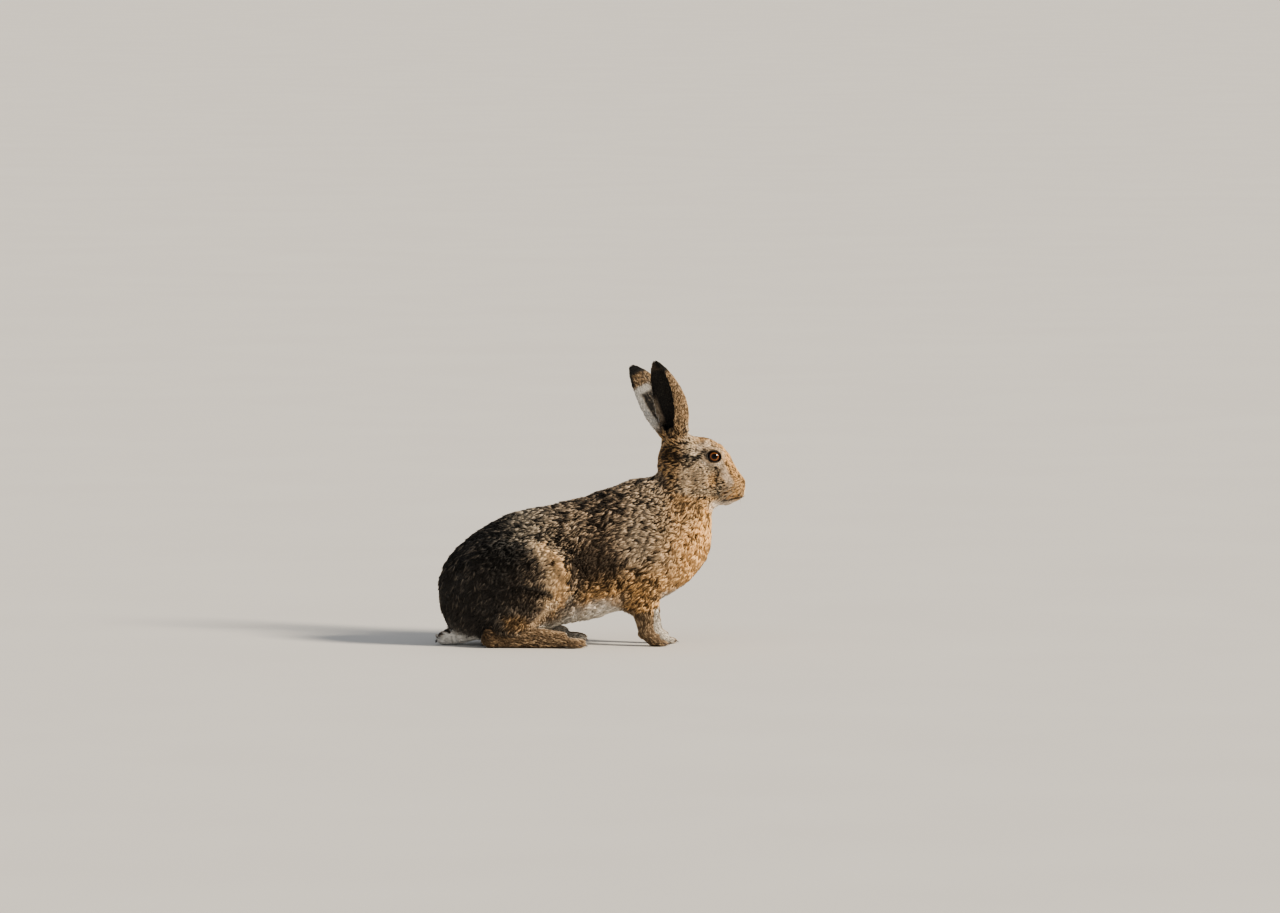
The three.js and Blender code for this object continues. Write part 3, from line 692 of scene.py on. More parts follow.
@dataclass(frozen=True)
class Markings:
    """Colour zones of the coat, the same for skin and tufts.

    Each share runs from 0 to 1. The plain coat is banded brown, greyer on the rump, warm on
    chest and legs, white below, pale round eye and lips, black at ear tips and tail. Some
    shares paint light and shade: the flank, haunch, rump, folds, grooves, nostrils and ear
    cups are darker as painted shade, the saddle, shoulder and knee rim paler as painted light.
    """

    shank_edge: SideLine = ((-46.0, 66.0), (-81.0, 27.0))
    # Line of painted shadow under the thigh.
    thigh_line: SideLine = ((-92.0, 84.0), (-72.0, 81.5), (-50.0, 74.0))
    knee_rim: SideLine = ((-52.0, 134.0), (-36.0, 118.0), (-28.0, 98.0), (-30.0, 78.0),
                          (-42.0, 62.0))
    cheek_stripe: SideLine = ((165.0, 234.0), (171.0, 222.0), (178.0, 210.0))
    cheek_fold: SideLine = ((131.0, 201.0), (146.0, 197.5), (158.0, 194.0))
    temple: SideLine = ((98.0, 247.0), (116.0, 243.0), (136.0, 240.0))
    brow: SideLine = ((134.0, 248.0), (140.0, 255.0), (151.0, 257.5))
    under_eye: SideLine = ((142.0, 237.5), (150.0, 232.0), (163.0, 233.0))
    cheek_groove: SideLine = ((164.0, 225.0), (160.5, 214.0), (160.0, 203.0), (164.0, 193.0))

    def trunk(self, places: Array, normals: Array, zones: Array) -> dict[str, Array]:
        """Shares on torso, neck, thighs, legs, feet and tail.

        Args:
            places: Points in millimetres.
            normals: Normals of the skin there.
            zones: Zone numbers.

        Returns:
            A share for each colour's name.
        """
        x, y, z = places.T
        on = {zone: among(zones, zone).astype(float) for zone in Zone}
        trunk = on[Zone.TORSO] + on[Zone.NECK] + on[Zone.THIGH]
        ahead = rise(40.0, 80.0, x)
        under = rise(-0.30 - 0.35 * ahead, -0.75 - 0.15 * ahead, normals[:, 2])
        belly = np.maximum(under, rise(46.0, 34.0, z) * rise(-50.0, -25.0, x) * 0.9)
        white = (on[Zone.TORSO] * 0.85 + on[Zone.THIGH] * 0.5) * belly
        white *= rise(96.0, 66.0, z - 0.22 * x) * rise(150.0, 122.0, x)
        outer = rise(18.0, 32.0, np.abs(y)) * rise(-22.0, -44.0, x)
        white *= 1 - 0.9 * outer * rise(10.0, 22.0, z)
        white += on[Zone.TAIL] * rise(0.2, -0.2, normals[:, 2])
        inner = rise(-0.1, 0.5, -normals[:, 1] * np.sign(y))
        legs = on[Zone.FORELEG] + on[Zone.FOREFOOT] + on[Zone.HIND_FOOT]
        white += 0.75 * inner * legs
        blush = rise(-12.0, -30.0, x) * rise(60.0, 46.0, z) * rise(14.0, 24.0, z)
        blush *= on[Zone.TORSO] * rise(-96.0, -76.0, x)
        hock = rise(-76.0, -86.0, x) * rise(-112.0, -100.0, x) * rise(52.0, 42.0, z)
        hock *= trunk * rise(20.0, 30.0, z) * 0.45
        # The rump is greyer and darker: its own grey coat, deepened by painted shade.
        rump = rise(-30.0, -120.0, x - 0.35 * (z - 90.0))
        flat = places * (1, 0, 1)
        # flank: painted shade in the hollow before the thigh; the saddle: painted light on top of
        # the haunch.
        flank = rise(26.0, 44.0, np.abs(y)) * near(flat, (8.0, 0.0, 112.0), 54.0)
        lit_saddle = near(flat, (-78.0, 0.0, 158.0), 52.0)
        spine = near(flat, (20.0, 0.0, 176.0), 48.0)
        chest = rise(72.0, 132.0, x) * rise(205.0, 125.0, z)
        front = rise(0.0, 0.7, normals[:, 0]) * rise(60.0, 105.0, x) * rise(222.0, 190.0, z)
        # The knee's rim is warm buff of its own, made paler still as a painted highlight where it
        # faces the light.
        rim = rise(24.0, 5.0, from_line(places, self.knee_rim))
        knee = on[Zone.THIGH] * np.maximum(rim, rise(-62.0, -34.0, x) * rise(40.0, 60.0, z))
        side = rise(108.0, 66.0, z - 0.25 * x) * rise(-40.0, 10.0, x) * 0.7
        throat = on[Zone.NECK] * rise(78.0, 118.0, x - 0.25 * (z - 170.0)) * 0.6
        elbow = near(flat, (64.0, 0.0, 78.0), 38.0) * 0.85
        warm = np.maximum.reduce([trunk * chest, trunk * front, knee * 0.7, trunk * side, throat,
                                  trunk * elbow, hock])
        outside = trunk * rise(24.0, 32.0, np.abs(y))
        edge = rise(6.0, 3.5, from_line(places, self.shank_edge)) * outside
        # Painted shadow: a dark line under the thigh's lower edge.
        line = rise(7.0, 2.0, from_line(places, self.thigh_line)) * outside * 0.8
        top = rise(0.05, 0.6, normals[:, 2]) * rise(80.0, 150.0, z - 0.25 * x)
        bold = trunk * np.clip(0.80 + 0.20 * top - 0.5 * belly, 0.0, 1.0) * (1 - 0.6 * edge)
        bold += 0.45 * legs
        # Painted light and shade: the flank, the haunch and the hollow before the thigh are darker
        # as shade, the saddle and shoulder paler as light.
        pale = 0.5 - 0.30 * rump * (1 - knee) - 0.45 * flank + 0.45 * trunk * chest
        pale += 0.86 * knee - 0.12 * throat + 0.28 * lit_saddle - 0.24 * spine
        pale -= 0.16 * near(flat, (-102.0, 0.0, 104.0), 46.0) * (1 - knee)
        pale += 0.24 * near(flat, (74.0, 0.0, 140.0), 56.0)
        pale -= 0.3 * near(flat, (-34.0, 0.0, 84.0), 15.0) * (1 - on[Zone.THIGH])
        black = on[Zone.TAIL] * rise(-0.05, 0.35, normals[:, 2])
        # Painted shadow: a dark patch on the calf under the thigh's overhang.
        calf_shadow = near(flat, (-80.0, 0.0, 58.0), 27.0) * outside * (1 - edge)
        return {"white": white, "grey": trunk * rump * (1 - knee) * (1 - hock), "warm": warm,
                "tawny": np.maximum(legs, blush), "buff": edge + blush * 0.25,
                "black": np.maximum.reduce([black, calf_shadow * 0.8, line]),
                "bold": bold, "pale": pale}

    def face(self, places: Array) -> dict[str, Array]:
        """Shares on the head.

        Args:
            places: Points in millimetres.

        Returns:
            A share for each colour's name.
        """
        x, _, z = places.T
        fold = mirrored(places)
        eye, turn = MARKS.round_eye(places)
        over = rise(-0.35, 0.75, np.cos(turn - 1.05))
        under = rise(0.1, 0.8, np.cos(turn + 1.75))
        ring = rise(1.9, 1.4, eye) * over + rise(1.6, 1.3, eye) * under
        ring *= rise(1.0, 1.1, eye)
        stripe = rise(7.0, 2.0, from_line(fold, self.cheek_stripe)) * rise(4.0, 8.0, fold[:, 1])
        front = near(places, (198.0, 0.0, 194.0), 14.0)
        front = rise(0.15, 0.6, front)
        chin = rise(189.5, 184.0, z) * rise(146.0, 160.0, x)
        cheek = near(fold, (135.0, 28.0, 217.0), 30.0)
        patch = near(fold, (173.5, 16.0, 202.0), 8.0)
        buff = ring + stripe * 0.8 + front * 0.6 + chin * 0.5 + cheek * 0.25 + patch * 0.6
        # Painted shade: the temple between ear and eye is greyer and darker.
        temple = near(fold, (137.0, 22.0, 247.0), 17.0) * 0.75
        temple = np.maximum(temple, rise(12.0, 2.0, from_line(fold, self.temple)) * 0.85)
        brow = rise(5.5, 2.0, from_line(fold, self.brow)) * 0.8
        under_eye = rise(3.2, 1.2, from_line(fold, self.under_eye)) * 0.8
        brow = np.maximum(brow, under_eye)
        temple = temple * (1 - brow)
        buff = buff + brow * 0.8
        bridge = rise(156.0, 174.0, x + 0.3 * (z - 230.0)) * 0.95
        bridge = np.maximum(bridge, near(fold, (180.0, 10.0, 196.0), 20.0) * 0.95)
        crown = rise(249.0, 261.0, z) * rise(122.0, 150.0, x) * 0.75
        fore_cheek = near(fold, (157.0, 20.0, 212.0), 17.0) * 0.85
        throat = rise(204.0, 184.0, z) * rise(172.0, 150.0, x) * 0.9
        rim = rise(1.16, 1.02, eye)
        # Painted shade: black in the line of the mouth, the nostril slits and the lip's cleft, which
        # are recesses.
        mouth = rise(1.5, 0.7, MARKS.off_mouth(places))
        nostril = rise(2.7, 1.3, MARKS.off_nostril(places))
        cleft = rise(1.6, 0.6, MARKS.off_cleft(places))
        # Painted shadow: black in the groove between cheek and muzzle and along the cheek's lower
        # fold.
        groove = rise(3.8, 1.0, from_line(fold, self.cheek_groove)) * 0.75
        fold_shadow = rise(3.8, 1.0, from_line(fold, self.cheek_fold)) * 0.5
        groove = np.maximum(groove, fold_shadow)
        spots = np.max([near(fold, tuple(root), 2.6)
                        for root in MARKS.whisker_roots(Side.LEFT)], axis=0) * 0.6
        black = np.maximum.reduce([rim, mouth * 0.9, nostril, cleft * 0.85, spots, groove])
        nape = rise(128.0, 106.0, x)
        shade = nape * rise(196.0, 220.0, z)
        warm = np.maximum.reduce([bridge, throat, crown, fore_cheek, shade * 0.6, cheek * 0.4])
        bold = 1.0 - 0.1 * rise(164.0, 185.0, x) - 0.4 * np.clip(ring + front + stripe, 0.0, 1.0)
        pale = 0.80 - 0.28 * shade - 0.34 * temple + 0.14 * cheek + 0.08 * crown
        return {"white": front * 0.9 + chin * 0.6 + stripe * 0.3 + brow * 0.3,
                "grey": np.maximum(temple * 0.8, shade * 0.2),
                "warm": warm, "buff": buff, "black": black, "bold": bold, "pale": pale}

    def ear(self, places: Array, normals: Array) -> dict[str, Array]:
        """Shares on the ears: black tip, white hind edge, cup painted dark as shade with a pale
        fringe.

        Args:
            places: Points in millimetres.
            normals: Normals of the skin there.

        Returns:
            A share for each colour's name.
        """
        along, ahead, inside = ear_place(places, normals)
        outside = 1 - inside
        tip = rise(0.80, 0.87, along - 0.03 * inside)
        tip = np.maximum(tip, rise(0.66, 0.74, along) * rise(-0.70, -0.86, ahead) * outside)
        hind = rise(-0.72, -0.86, ahead)
        low = rise(0.70, 0.60, along)
        band = rise(0.07, 0.03, np.abs(along - 0.63)) * rise(0.2, -0.3, ahead) * 0.9
        white = outside * (1 - tip) * np.maximum(hind * low, band)
        middle = outside * low * rise(0.20, -0.15, ahead) * (1 - hind) * 0.95
        pink = outside * rise(0.66, 0.72, along) * rise(0.4, -0.1, ahead) * 0.5
        cup = inside * (1 - tip)
        edge = cup * rise(0.80, 0.97, np.abs(ahead)) * rise(0.55, 0.35, along)
        edge *= rise(0.10, 0.20, along) * rise(0.0, -0.2, ahead) * 0.8
        # Inside the tip, towards the cup's edges, the black is lighter as painted light.
        black = tip * (1.0 - 0.35 * inside * rise(0.0, 0.6, np.abs(ahead)))
        bold = 0.85 * outside * (1 - tip) * (1 - 0.6 * np.clip(white, 0, 1)) + 0.2 * inside
        pale = 0.62 + 0.10 * rise(0.0, 0.6, ahead) * outside - 0.2 * middle
        # The cup's share goes to the bare colour, which is painted near black as shade.
        return {"white": white * 0.9 + edge * 0.3, "grey": np.maximum(middle, outside * 0.3),
                "warm": np.maximum(pink * 0.8, outside * rise(0.0, 0.4, ahead) * (1 - tip) * 0.45),
                "buff": edge, "black": black, "bare": cup * (1 - edge), "bold": bold,
                "pale": pale}

    def shares(self, places: Array, normals: Array, zones: Array) -> dict[str, Array]:
        """Shares of each colour for places on the coat.

        Args:
            places: Points in millimetres.
            normals: Normals of the skin there.
            zones: Zone numbers.

        Returns:
            A share for each colour's name.
        """
        head, ear = among(zones, Zone.HEAD), among(zones, Zone.EAR)
        body, face = self.trunk(places, normals, zones), self.face(places)
        leaf, none = self.ear(places, normals), np.zeros(len(places))
        along, _, inside = ear_place(places, normals)
        root = rise(0.20, 0.02, along) * (1 - inside)
        shares = {}
        for name in SHARES:
            trunk, front, share = (part.get(name, none) for part in (body, face, leaf))
            share = share + (front - share) * root
            shares[name] = np.clip(np.where(head, front, np.where(ear, share, trunk)), 0, 1)
        return shares

    def write(self, mesh: bpy.types.Mesh, places: Array, normals: Array, zones: Array,
              hollow: Array) -> None:
        """Store the shares on a mesh's points for the materials to read.

        Args:
            mesh: Skin or coat mesh.
            places: A place for each of its points, such as the tuft's root.
            normals: The skin's normal at each place.
            zones: Zone number of each.
            hollow: Share of a fold there, which the materials darken as painted shade.
        """
        share = self.shares(places, normals, zones) | {"hollow": hollow}
        for attribute, names in ATTRIBUTES.items():
            store(mesh, attribute, [share[name] for name in names])


@dataclass(frozen=True)
class HareFur:
    """Agouti hair: each is dark at the root and pale near its tip, and whole locks differ.

    It reads as salt-and-pepper brown on the back and as plain warm colour on chest and legs.
    """

    name: str
    banded: bool
    brown: str = "#86705a"
    white: str = "#e9e5dd"
    # Grey of rump, ears and temples; on the rump and temples it is also painted shade.
    warm: str = "#c6995e"
    grey: str = "#575049"
    # Black of ear tips, tail, lids and whisker spots, also used as painted shadow in grooves and
    # recesses.
    black: str = "#14100d"
    buff: str = "#dfc3a2"
    # Painted shade: the bare skin inside the ear's cup is drawn near black, as shade falls in it.
    tawny: str = "#816a50"
    bare: str = "#171310"
    cream: str = "#e6d8be"
    # A real hair is about 0.05 mm thick: the skin's grain is as coarse as it needs to show.
    hair_mm: float = 0.9
    clump_mm: float = 11.0
    dark_share: float = 0.09
    light_share: float = 1.7
    cream_share: float = 0.6
    tick_from: float = 0.36
    tick_to: float = 0.56
    tick_base: float = -0.56
    tick_weights: tuple[float, float, float, float] = (0.66, 0.24, 0.12, 0.66)
    bold_losses: tuple[tuple[str, float], ...] = (("white", 0.92), ("black", 0.85), ("buff", 0.35))
    warm_cream_loss: float = 0.45
    # Painted shade: how far the colour darkens in folds and creases.
    fold_shade: float = 0.6
    darkest: float = 0.30
    brightest: float = 1.2
    skin_brightest: float = 0.80
    bands: tuple[tuple[float, float], ...] = (
        (0.0, 0.22), (0.30, 0.45), (0.55, 1.0), (0.82, 1.1), (1.0, 0.78))

    def zone_colour(self, tree: Any) -> tuple[Any, Any, Any, Any, Any]:
        """Colour of the zones without the bands.

        Args:
            tree: Node tree of the material.

        Returns:
            Outputs of the colour, how strongly it is ticked, the folds' share that is darkened as
            painted shade, how pale it is and how warm.
        """
        share = {name: output for attribute, names in ATTRIBUTES.items()
                 for name, output in zip(names, channels(tree, attribute))}
        colour: Any = linear(self.brown)
        for name in ("grey", "warm", "tawny", "bare", "buff", "white", "black"):
            colour = add_node(tree, "ShaderNodeMix", {
                0: share[name], 6: colour, 7: linear(getattr(self, name))},
                data_type="RGBA").outputs[2]
        bold = share["bold"]
        for name, loss in self.bold_losses:
            less = add_node(tree, "ShaderNodeMath", {0: share[name], 1: -loss, 2: 1.0},
                            operation="MULTIPLY_ADD").outputs[0]
            bold = add_node(tree, "ShaderNodeMath", {0: bold, 1: less},
                            operation="MULTIPLY").outputs[0]
        return colour, bold, share["hollow"], share["pale"], share["warm"]

    def tick(self, tree: Any, vary: Any, lock: Any, pale: Any) -> Any:
        """Pale or dark share of each hair, from its own draw, its lock and slow patches.

        Args:
            tree: Node tree of the material.
            vary: Output of each hair's own draw.
            lock: Output of its lock's draw.
            pale: Output of how pale the coat is there.

        Returns:
            Output of the share: 0 dark, 1 pale.
        """
        total: Any = self.tick_base
        place = add_node(tree, "ShaderNodeTexCoord").outputs["Object"]
        patches = add_node(tree, "ShaderNodeTexNoise", {
            "Vector": place, "Scale": 1 / (self.clump_mm * MM), "Detail": 2.0}).outputs[0]
        for part, weight in zip((lock, vary, patches, pale), self.tick_weights):
            total = add_node(tree, "ShaderNodeMath", {0: part, 1: weight, 2: total},
                             operation="MULTIPLY_ADD").outputs[0]
        return add_node(tree, "ShaderNodeMapRange", {0: total, 1: self.tick_from, 2: self.tick_to},
                        interpolation_type="SMOOTHSTEP").outputs[0]

    def hair_level(self, tree: Any, along: Any) -> Any:
        """Light and dark bands from root to tip, as shares of the brightest.

        Args:
            tree: Node tree of the material.
            along: Output of the share from root to tip.

        Returns:
            The level's output.
        """
        band = add_node(tree, "ShaderNodeValToRGB", {0: along})
        set_stops(band.color_ramp, [(position, (*(tone / self.brightest,) * 3, 1.0))
                                    for position, tone in self.bands])
        return band.outputs["Color"]

    def build(self) -> bpy.types.Material:
        """Make the material.

        Returns:
            A rough, slightly sheened surface with the bands or the fine hair of the skin.
        """
        material, tree = new_material(self.name)
        colour, bold, hollow, pale, warm = self.zone_colour(tree)
        if self.banded:
            along, vary, lock, _ = channels(tree, "tuft")
            tick = self.tick(tree, vary, lock, pale)
            level, highest = self.hair_level(tree, along), self.brightest
        else:
            place = add_node(tree, "ShaderNodeTexCoord").outputs["Object"]
            vary = level = add_node(tree, "ShaderNodeTexNoise", {
                "Vector": place, "Scale": 1 / (self.hair_mm * MM), "Detail": 4.0}).outputs[0]
            tick, highest = self.tick(tree, vary, vary, pale), self.skin_brightest
        wide = add_node(tree, "ShaderNodeMath", {0: vary, 1: 0.3, 2: 0.85},
                        operation="MULTIPLY_ADD").outputs[0]
        plain, light, dark = (
            add_node(tree, "ShaderNodeVectorMath", {0: colour, 3: amount},
                     operation="SCALE").outputs[0]
            for amount in (wide, self.light_share, self.dark_share))
        less_cream = add_node(tree, "ShaderNodeMath", {0: warm, 1: -self.warm_cream_loss, 2: 1.0},
                              operation="MULTIPLY_ADD").outputs[0]
        cream = pale
        for factor in (less_cream, self.cream_share):
            cream = add_node(tree, "ShaderNodeMath", {0: cream, 1: factor},
                             operation="MULTIPLY").outputs[0]
        hair_colour: Any = linear(self.cream)
        for share, under in ((cream, light), (tick, dark), (bold, plain)):
            hair_colour = add_node(tree, "ShaderNodeMix", {0: share, 6: under, 7: hair_colour},
                                   data_type="RGBA").outputs[2]
        shade = add_node(tree, "ShaderNodeMapRange", {0: level, 3: self.darkest,
                                                      4: highest}).outputs[0]
        # Painted shade: darker colour in the folds and creases.
        fold = add_node(tree, "ShaderNodeMath", {0: hollow, 1: -self.fold_shade, 2: 1.0},
                        operation="MULTIPLY_ADD").outputs[0]
        total = add_node(tree, "ShaderNodeMath", {0: shade, 1: fold},
                         operation="MULTIPLY").outputs[0]
        final = add_node(tree, "ShaderNodeVectorMath", {0: hair_colour, 3: total},
                         operation="SCALE")
        shader = add_node(tree, "ShaderNodeBsdfPrincipled", {
            "Base Color": final.outputs[0], "Roughness": 0.62, "IOR": 1.55,
            "Specular IOR Level": 0.35, "Sheen Weight": 0.05, "Sheen Roughness": 0.4,
        })
        if not self.banded:
            bump = add_node(tree, "ShaderNodeBump", {
                "Height": level, "Strength": 0.6, "Distance": 0.5 * MM})
            tree.links.new(bump.outputs[0], shader.inputs["Normal"])
        add_node(tree, "ShaderNodeOutputMaterial", {0: shader.outputs[0]})
        return material


@dataclass(frozen=True)
class EyeGlaze:
    """Clear wet surface of the eye over pupil, amber iris and dark rim.

    It gives one small sharp highlight over a soft, deep ring of colour.
    """

    name: str = "wet_eye"
    pupil: str = "#050403"
    inner_iris: str = "#4a2811"
    iris: str = "#85542e"
    outer_iris: str = "#3c1f0d"
    rim: str = "#0f0804"
    stops: tuple[float, ...] = (0.0, 0.182, 0.202, 0.252, 0.305, 0.34)

    def build(self) -> bpy.types.Material:
        """Make the material: rings by the angle from the eye's axis, and streaks round it.

        Returns:
            A clear coat over the painted iris.
        """
        material, tree = new_material(self.name)
        angle, cosine, sine, _ = channels(tree, "gaze")
        around = add_node(tree, "ShaderNodeCombineXYZ", {0: cosine, 1: sine})
        streaks = add_node(tree, "ShaderNodeTexNoise", {
            "Vector": around.outputs[0], "Scale": 22.0, "Detail": 3.0}).outputs[0]
        wobble = add_node(tree, "ShaderNodeMath", {0: streaks, 1: 0.03, 2: angle},
                          operation="MULTIPLY_ADD").outputs[0]
        paints = (self.pupil, self.pupil, self.inner_iris, self.iris, self.outer_iris, self.rim)
        rings = add_node(tree, "ShaderNodeValToRGB", {0: wobble})
        set_stops(rings.color_ramp, [(stop, linear(paint))
                                     for stop, paint in zip(self.stops, paints)])
        tone = add_node(tree, "ShaderNodeMapRange", {0: streaks, 1: 0.3, 2: 0.7, 3: 0.7, 4: 1.25})
        colour = add_node(tree, "ShaderNodeVectorMath", {
            0: rings.outputs["Color"], 1: tone.outputs[0]}, operation="MULTIPLY")
        shader = add_node(tree, "ShaderNodeBsdfPrincipled", {
            "Base Color": colour.outputs[0], "Roughness": 0.6, "IOR": 1.376,
            "Specular IOR Level": 0.0,
            "Coat Weight": 1.0, "Coat Roughness": 0.02, "Coat IOR": 1.376,
        })
        add_node(tree, "ShaderNodeOutputMaterial", {0: shader.outputs[0]})
        return material


@dataclass(frozen=True)
class Horn:
    """Keratin or bare skin: one colour with a fine grain, which gives a dull, waxy gleam."""

    name: str
    colour: str
    second: str
    roughness: float
    gloss: float = 0.5
    grain_mm: float = 0.8

    def build(self) -> bpy.types.Material:
        """Make the material.

        Returns:
            A surface of one colour with a fine grain.
        """
        material, tree = new_material(self.name)
        place = add_node(tree, "ShaderNodeTexCoord").outputs["Object"]
        grain = add_node(tree, "ShaderNodeTexNoise", {
            "Vector": place, "Scale": 1 / (self.grain_mm * MM), "Detail": 3.0}).outputs[0]
        colour = add_node(tree, "ShaderNodeMix", {
            0: grain, 6: linear(self.colour), 7: linear(self.second)},
            data_type="RGBA").outputs[2]
        bump = add_node(tree, "ShaderNodeBump", {
            "Height": grain, "Strength": 0.3, "Distance": 0.1 * MM})
        shader = add_node(tree, "ShaderNodeBsdfPrincipled", {
            "Base Color": colour, "Roughness": self.roughness, "IOR": 1.54,
            "Specular IOR Level": self.gloss, "Normal": bump.outputs[0],
        })
        add_node(tree, "ShaderNodeOutputMaterial", {0: shader.outputs[0]})
        return material


@dataclass
class Skin:
    """One closed skin over all the flesh, sunk under the solids by the coat's depth."""

    voxel_mm: float = 1.15
    most_triangles: int = 186000
    body_rounds: int = 10
    face_rounds: int = 2
    spread_rounds: int = 70
    fold_mm: float = 2.2
    fold_deepening_mm: float = 2.5
    cleft_mm: float = 1.8
    nostril_mm: float = 2.6
    mouth_mm: float = 0.9
    full_crease_mm: float = 5.5
    label_area: float = 9.0
    label_counts: tuple[int, int] = (1500, 14000)
    zones: Array = field(default_factory=lambda: np.zeros(0, dtype=int))

    def gather(self) -> bpy.types.Object:
        """Join copies of the flesh nodes and close their gaps on a voxel grid.

        Returns:
            The joined skin, before it is thinned and sunk.
        """
        joined = bmesh.new()
        for node in FLESH:
            joined.from_mesh(bpy.data.objects[node].data)
        bmesh.ops.remove_doubles(joined, verts=joined.verts, dist=1e-6)
        mesh = bpy.data.meshes.new("hare_skin")
        joined.to_mesh(mesh)
        joined.free()
        obj = linked("hare_skin", mesh)
        remesh = obj.modifiers.new("close", "REMESH")
        remesh.mode = "VOXEL"
        remesh.voxel_size = self.voxel_mm * MM
        settle(obj)
        return obj

    def label(self, places: Array) -> Array:
        """Zone number of each place, from the nearest solid.

        Args:
            places: Points in millimetres.

        Returns:
            A zone number for each place.
        """
        rng = np.random.default_rng(5)
        spots: list[Array] = []
        labels: list[int] = []
        for node, zone in FLESH.items():
            mesh = bpy.data.objects[node].data
            points, triangles = read_points(mesh), read_triangles(mesh)
            areas = areas_of(points, triangles)
            count = int(np.clip(areas.sum() / self.label_area, *self.label_counts))
            pick, u, v = scatter(areas, count, rng)
            a, b, c = (points[triangles[:, i]][pick] for i in range(3))
            spots.append(a + (b - a) * u[:, None] + (c - a) * v[:, None])
            labels += [zone.value] * count
        tree = tree_of(np.concatenate(spots))
        return np.array([labels[tree.find(spot)[1]] for spot in places])

    def thin_out(self, obj: bpy.types.Object) -> None:
        """Spend the triangles on head, ears and feet, and fewer on the trunk.

        Args:
            obj: The skin.
        """
        zones = self.label(read_points(obj.data))
        group = obj.vertex_groups.new(name="plain")
        fine = among(zones, Zone.HEAD, Zone.EAR, Zone.FOREFOOT, Zone.HIND_FOOT)
        plain = np.nonzero(~fine)[0]
        group.add([int(i) for i in plain], 1.0, "REPLACE")
        count = len(read_triangles(obj.data))
        if count > self.most_triangles:
            decimate = obj.modifiers.new("thin", "DECIMATE")
            decimate.ratio = self.most_triangles / count
            decimate.vertex_group = group.name
            decimate.use_collapse_triangulate = True
            settle(obj)
        obj.vertex_groups.clear()

    def lie_way(self, places: Array, normals: Array, hollow: Array) -> Array:
        """Way that the hair lies.

        Args:
            places: Points in millimetres.
            normals: Their normals.
            hollow: Share of a fold at each.

        Returns:
            Unit vectors, along the skin.
        """
        x, y, z = places.T
        zones = self.zones
        way = np.tile(np.array([-1.0, 0.0, -0.35]), (len(places), 1))
        way[:, 2] = -0.12 - 0.7 * rise(185.0, 90.0, z - 0.2 * x)
        way[:, 0] = -1.0 + 0.8 * rise(90.0, 140.0, x)
        way[:, 2] -= 1.6 * rise(-120.0, -185.0, x)
        thigh, torso = among(zones, Zone.THIGH), among(zones, Zone.TORSO)
        way[thigh, 2] -= 0.35
        way[thigh & (z < 60)] = (-0.55, 0.0, -0.9)
        way[torso & (z < 40), 2] *= 0.4
        flank = torso & (x > -60) & (x < 30)
        way[flank, 2] -= 0.9 * (hollow * rise(30.0, 0.0, x))[flank]
        head = among(zones, Zone.HEAD)
        away = unit(places[head] - np.array(MARKS.nose))
        away += np.outer(rise(165.0, 120.0, x[head]), (-0.5, 0.0, -0.55))
        away += np.outer(rise(250.0, 268.0, z[head]), (-0.1, 0.0, 1.4))
        way[head] = away
        for side in Side:
            base, along, front, _, _ = MARKS.ear(side)
            mine = among(zones, Zone.EAR) & (y * side.value > 0)
            share = (places[mine] - base) @ front / 24.0
            way[mine] = along + np.outer(share * 0.25, front)
        for zone, going in ((Zone.FORELEG, (-0.1, 0.0, -1.0)), (Zone.FOREFOOT, (0.8, 0.0, -0.5)),
                            (Zone.HIND_FOOT, (1.0, 0.0, -0.15)), (Zone.TAIL, (-1.0, 0.0, -0.1)),
                            (Zone.NECK, (-0.62, 0.0, -0.85))):
            way[among(zones, zone)] = going
        return laid(way, normals)

    def build(self) -> tuple[bpy.types.Object, Surface]:
        """Make the skin.

        Returns:
            The skin's object, and the arrays that the coat grows on.
        """
        obj = self.gather()
        self.thin_out(obj)
        mesh = obj.data
        points, triangles = read_points(mesh), read_triangles(mesh)
        self.zones = self.label(points)
        pairs = np.empty(len(mesh.edges) * 2, dtype=np.int32)
        mesh.edges.foreach_get("vertices", pairs)
        graph = Graph(pairs.reshape(-1, 2), len(points))
        fine = among(self.zones, Zone.HEAD, Zone.EAR)
        body = graph.even((~fine).astype(float), 6)
        points = graph.even(points, self.body_rounds, body * 0.5)
        points = graph.even(points, self.face_rounds, 0.35)
        normals = graph.even(self.normals_of(points, triangles), 2)
        hollow = self.folds(graph, points, normals)
        hollow *= 1 - 0.6 * near(mirrored(points), (-30.0, 62.0, 98.0), 34.0)
        sizes = np.array([[COATS[zone].depth, COATS[zone].length] for zone in Zone])[self.zones]
        sizes = self.shaped(points, normals, sizes)
        sizes = graph.even(sizes, 6 + self.spread_rounds // 3, 0.15 + 0.85 * body)
        relief, creased = self.relief(points, normals)
        sizes[:, 1] *= 1.0 - 0.4 * np.maximum(hollow, creased)
        sizes[:, 0] += hollow * self.fold_deepening_mm * body - graph.even(relief, 3)
        hollow = np.maximum(0.7 * hollow, creased)
        lids = MARKS.round_eye(points)[0]
        sizes[:, 0] *= np.maximum(rise(1.2, 2.0, lids), 0.1)
        sunk = points - unit(normals) * sizes[:, :1]
        sunk = graph.even(sunk, 6, body * 0.5)
        sunk[:, 2] = np.maximum(sunk[:, 2], 0.3)
        mesh.vertices.foreach_set("co", (sunk * MM).astype(np.float32).ravel())
        mesh.polygons.foreach_set("use_smooth", np.ones(len(mesh.polygons), dtype=bool))
        mesh.update()
        normals = unit(graph.even(self.normals_of(sunk, triangles), 1))
        lie = graph.even(self.lie_way(sunk, normals, hollow), 10)
        lie = laid(lie, normals)
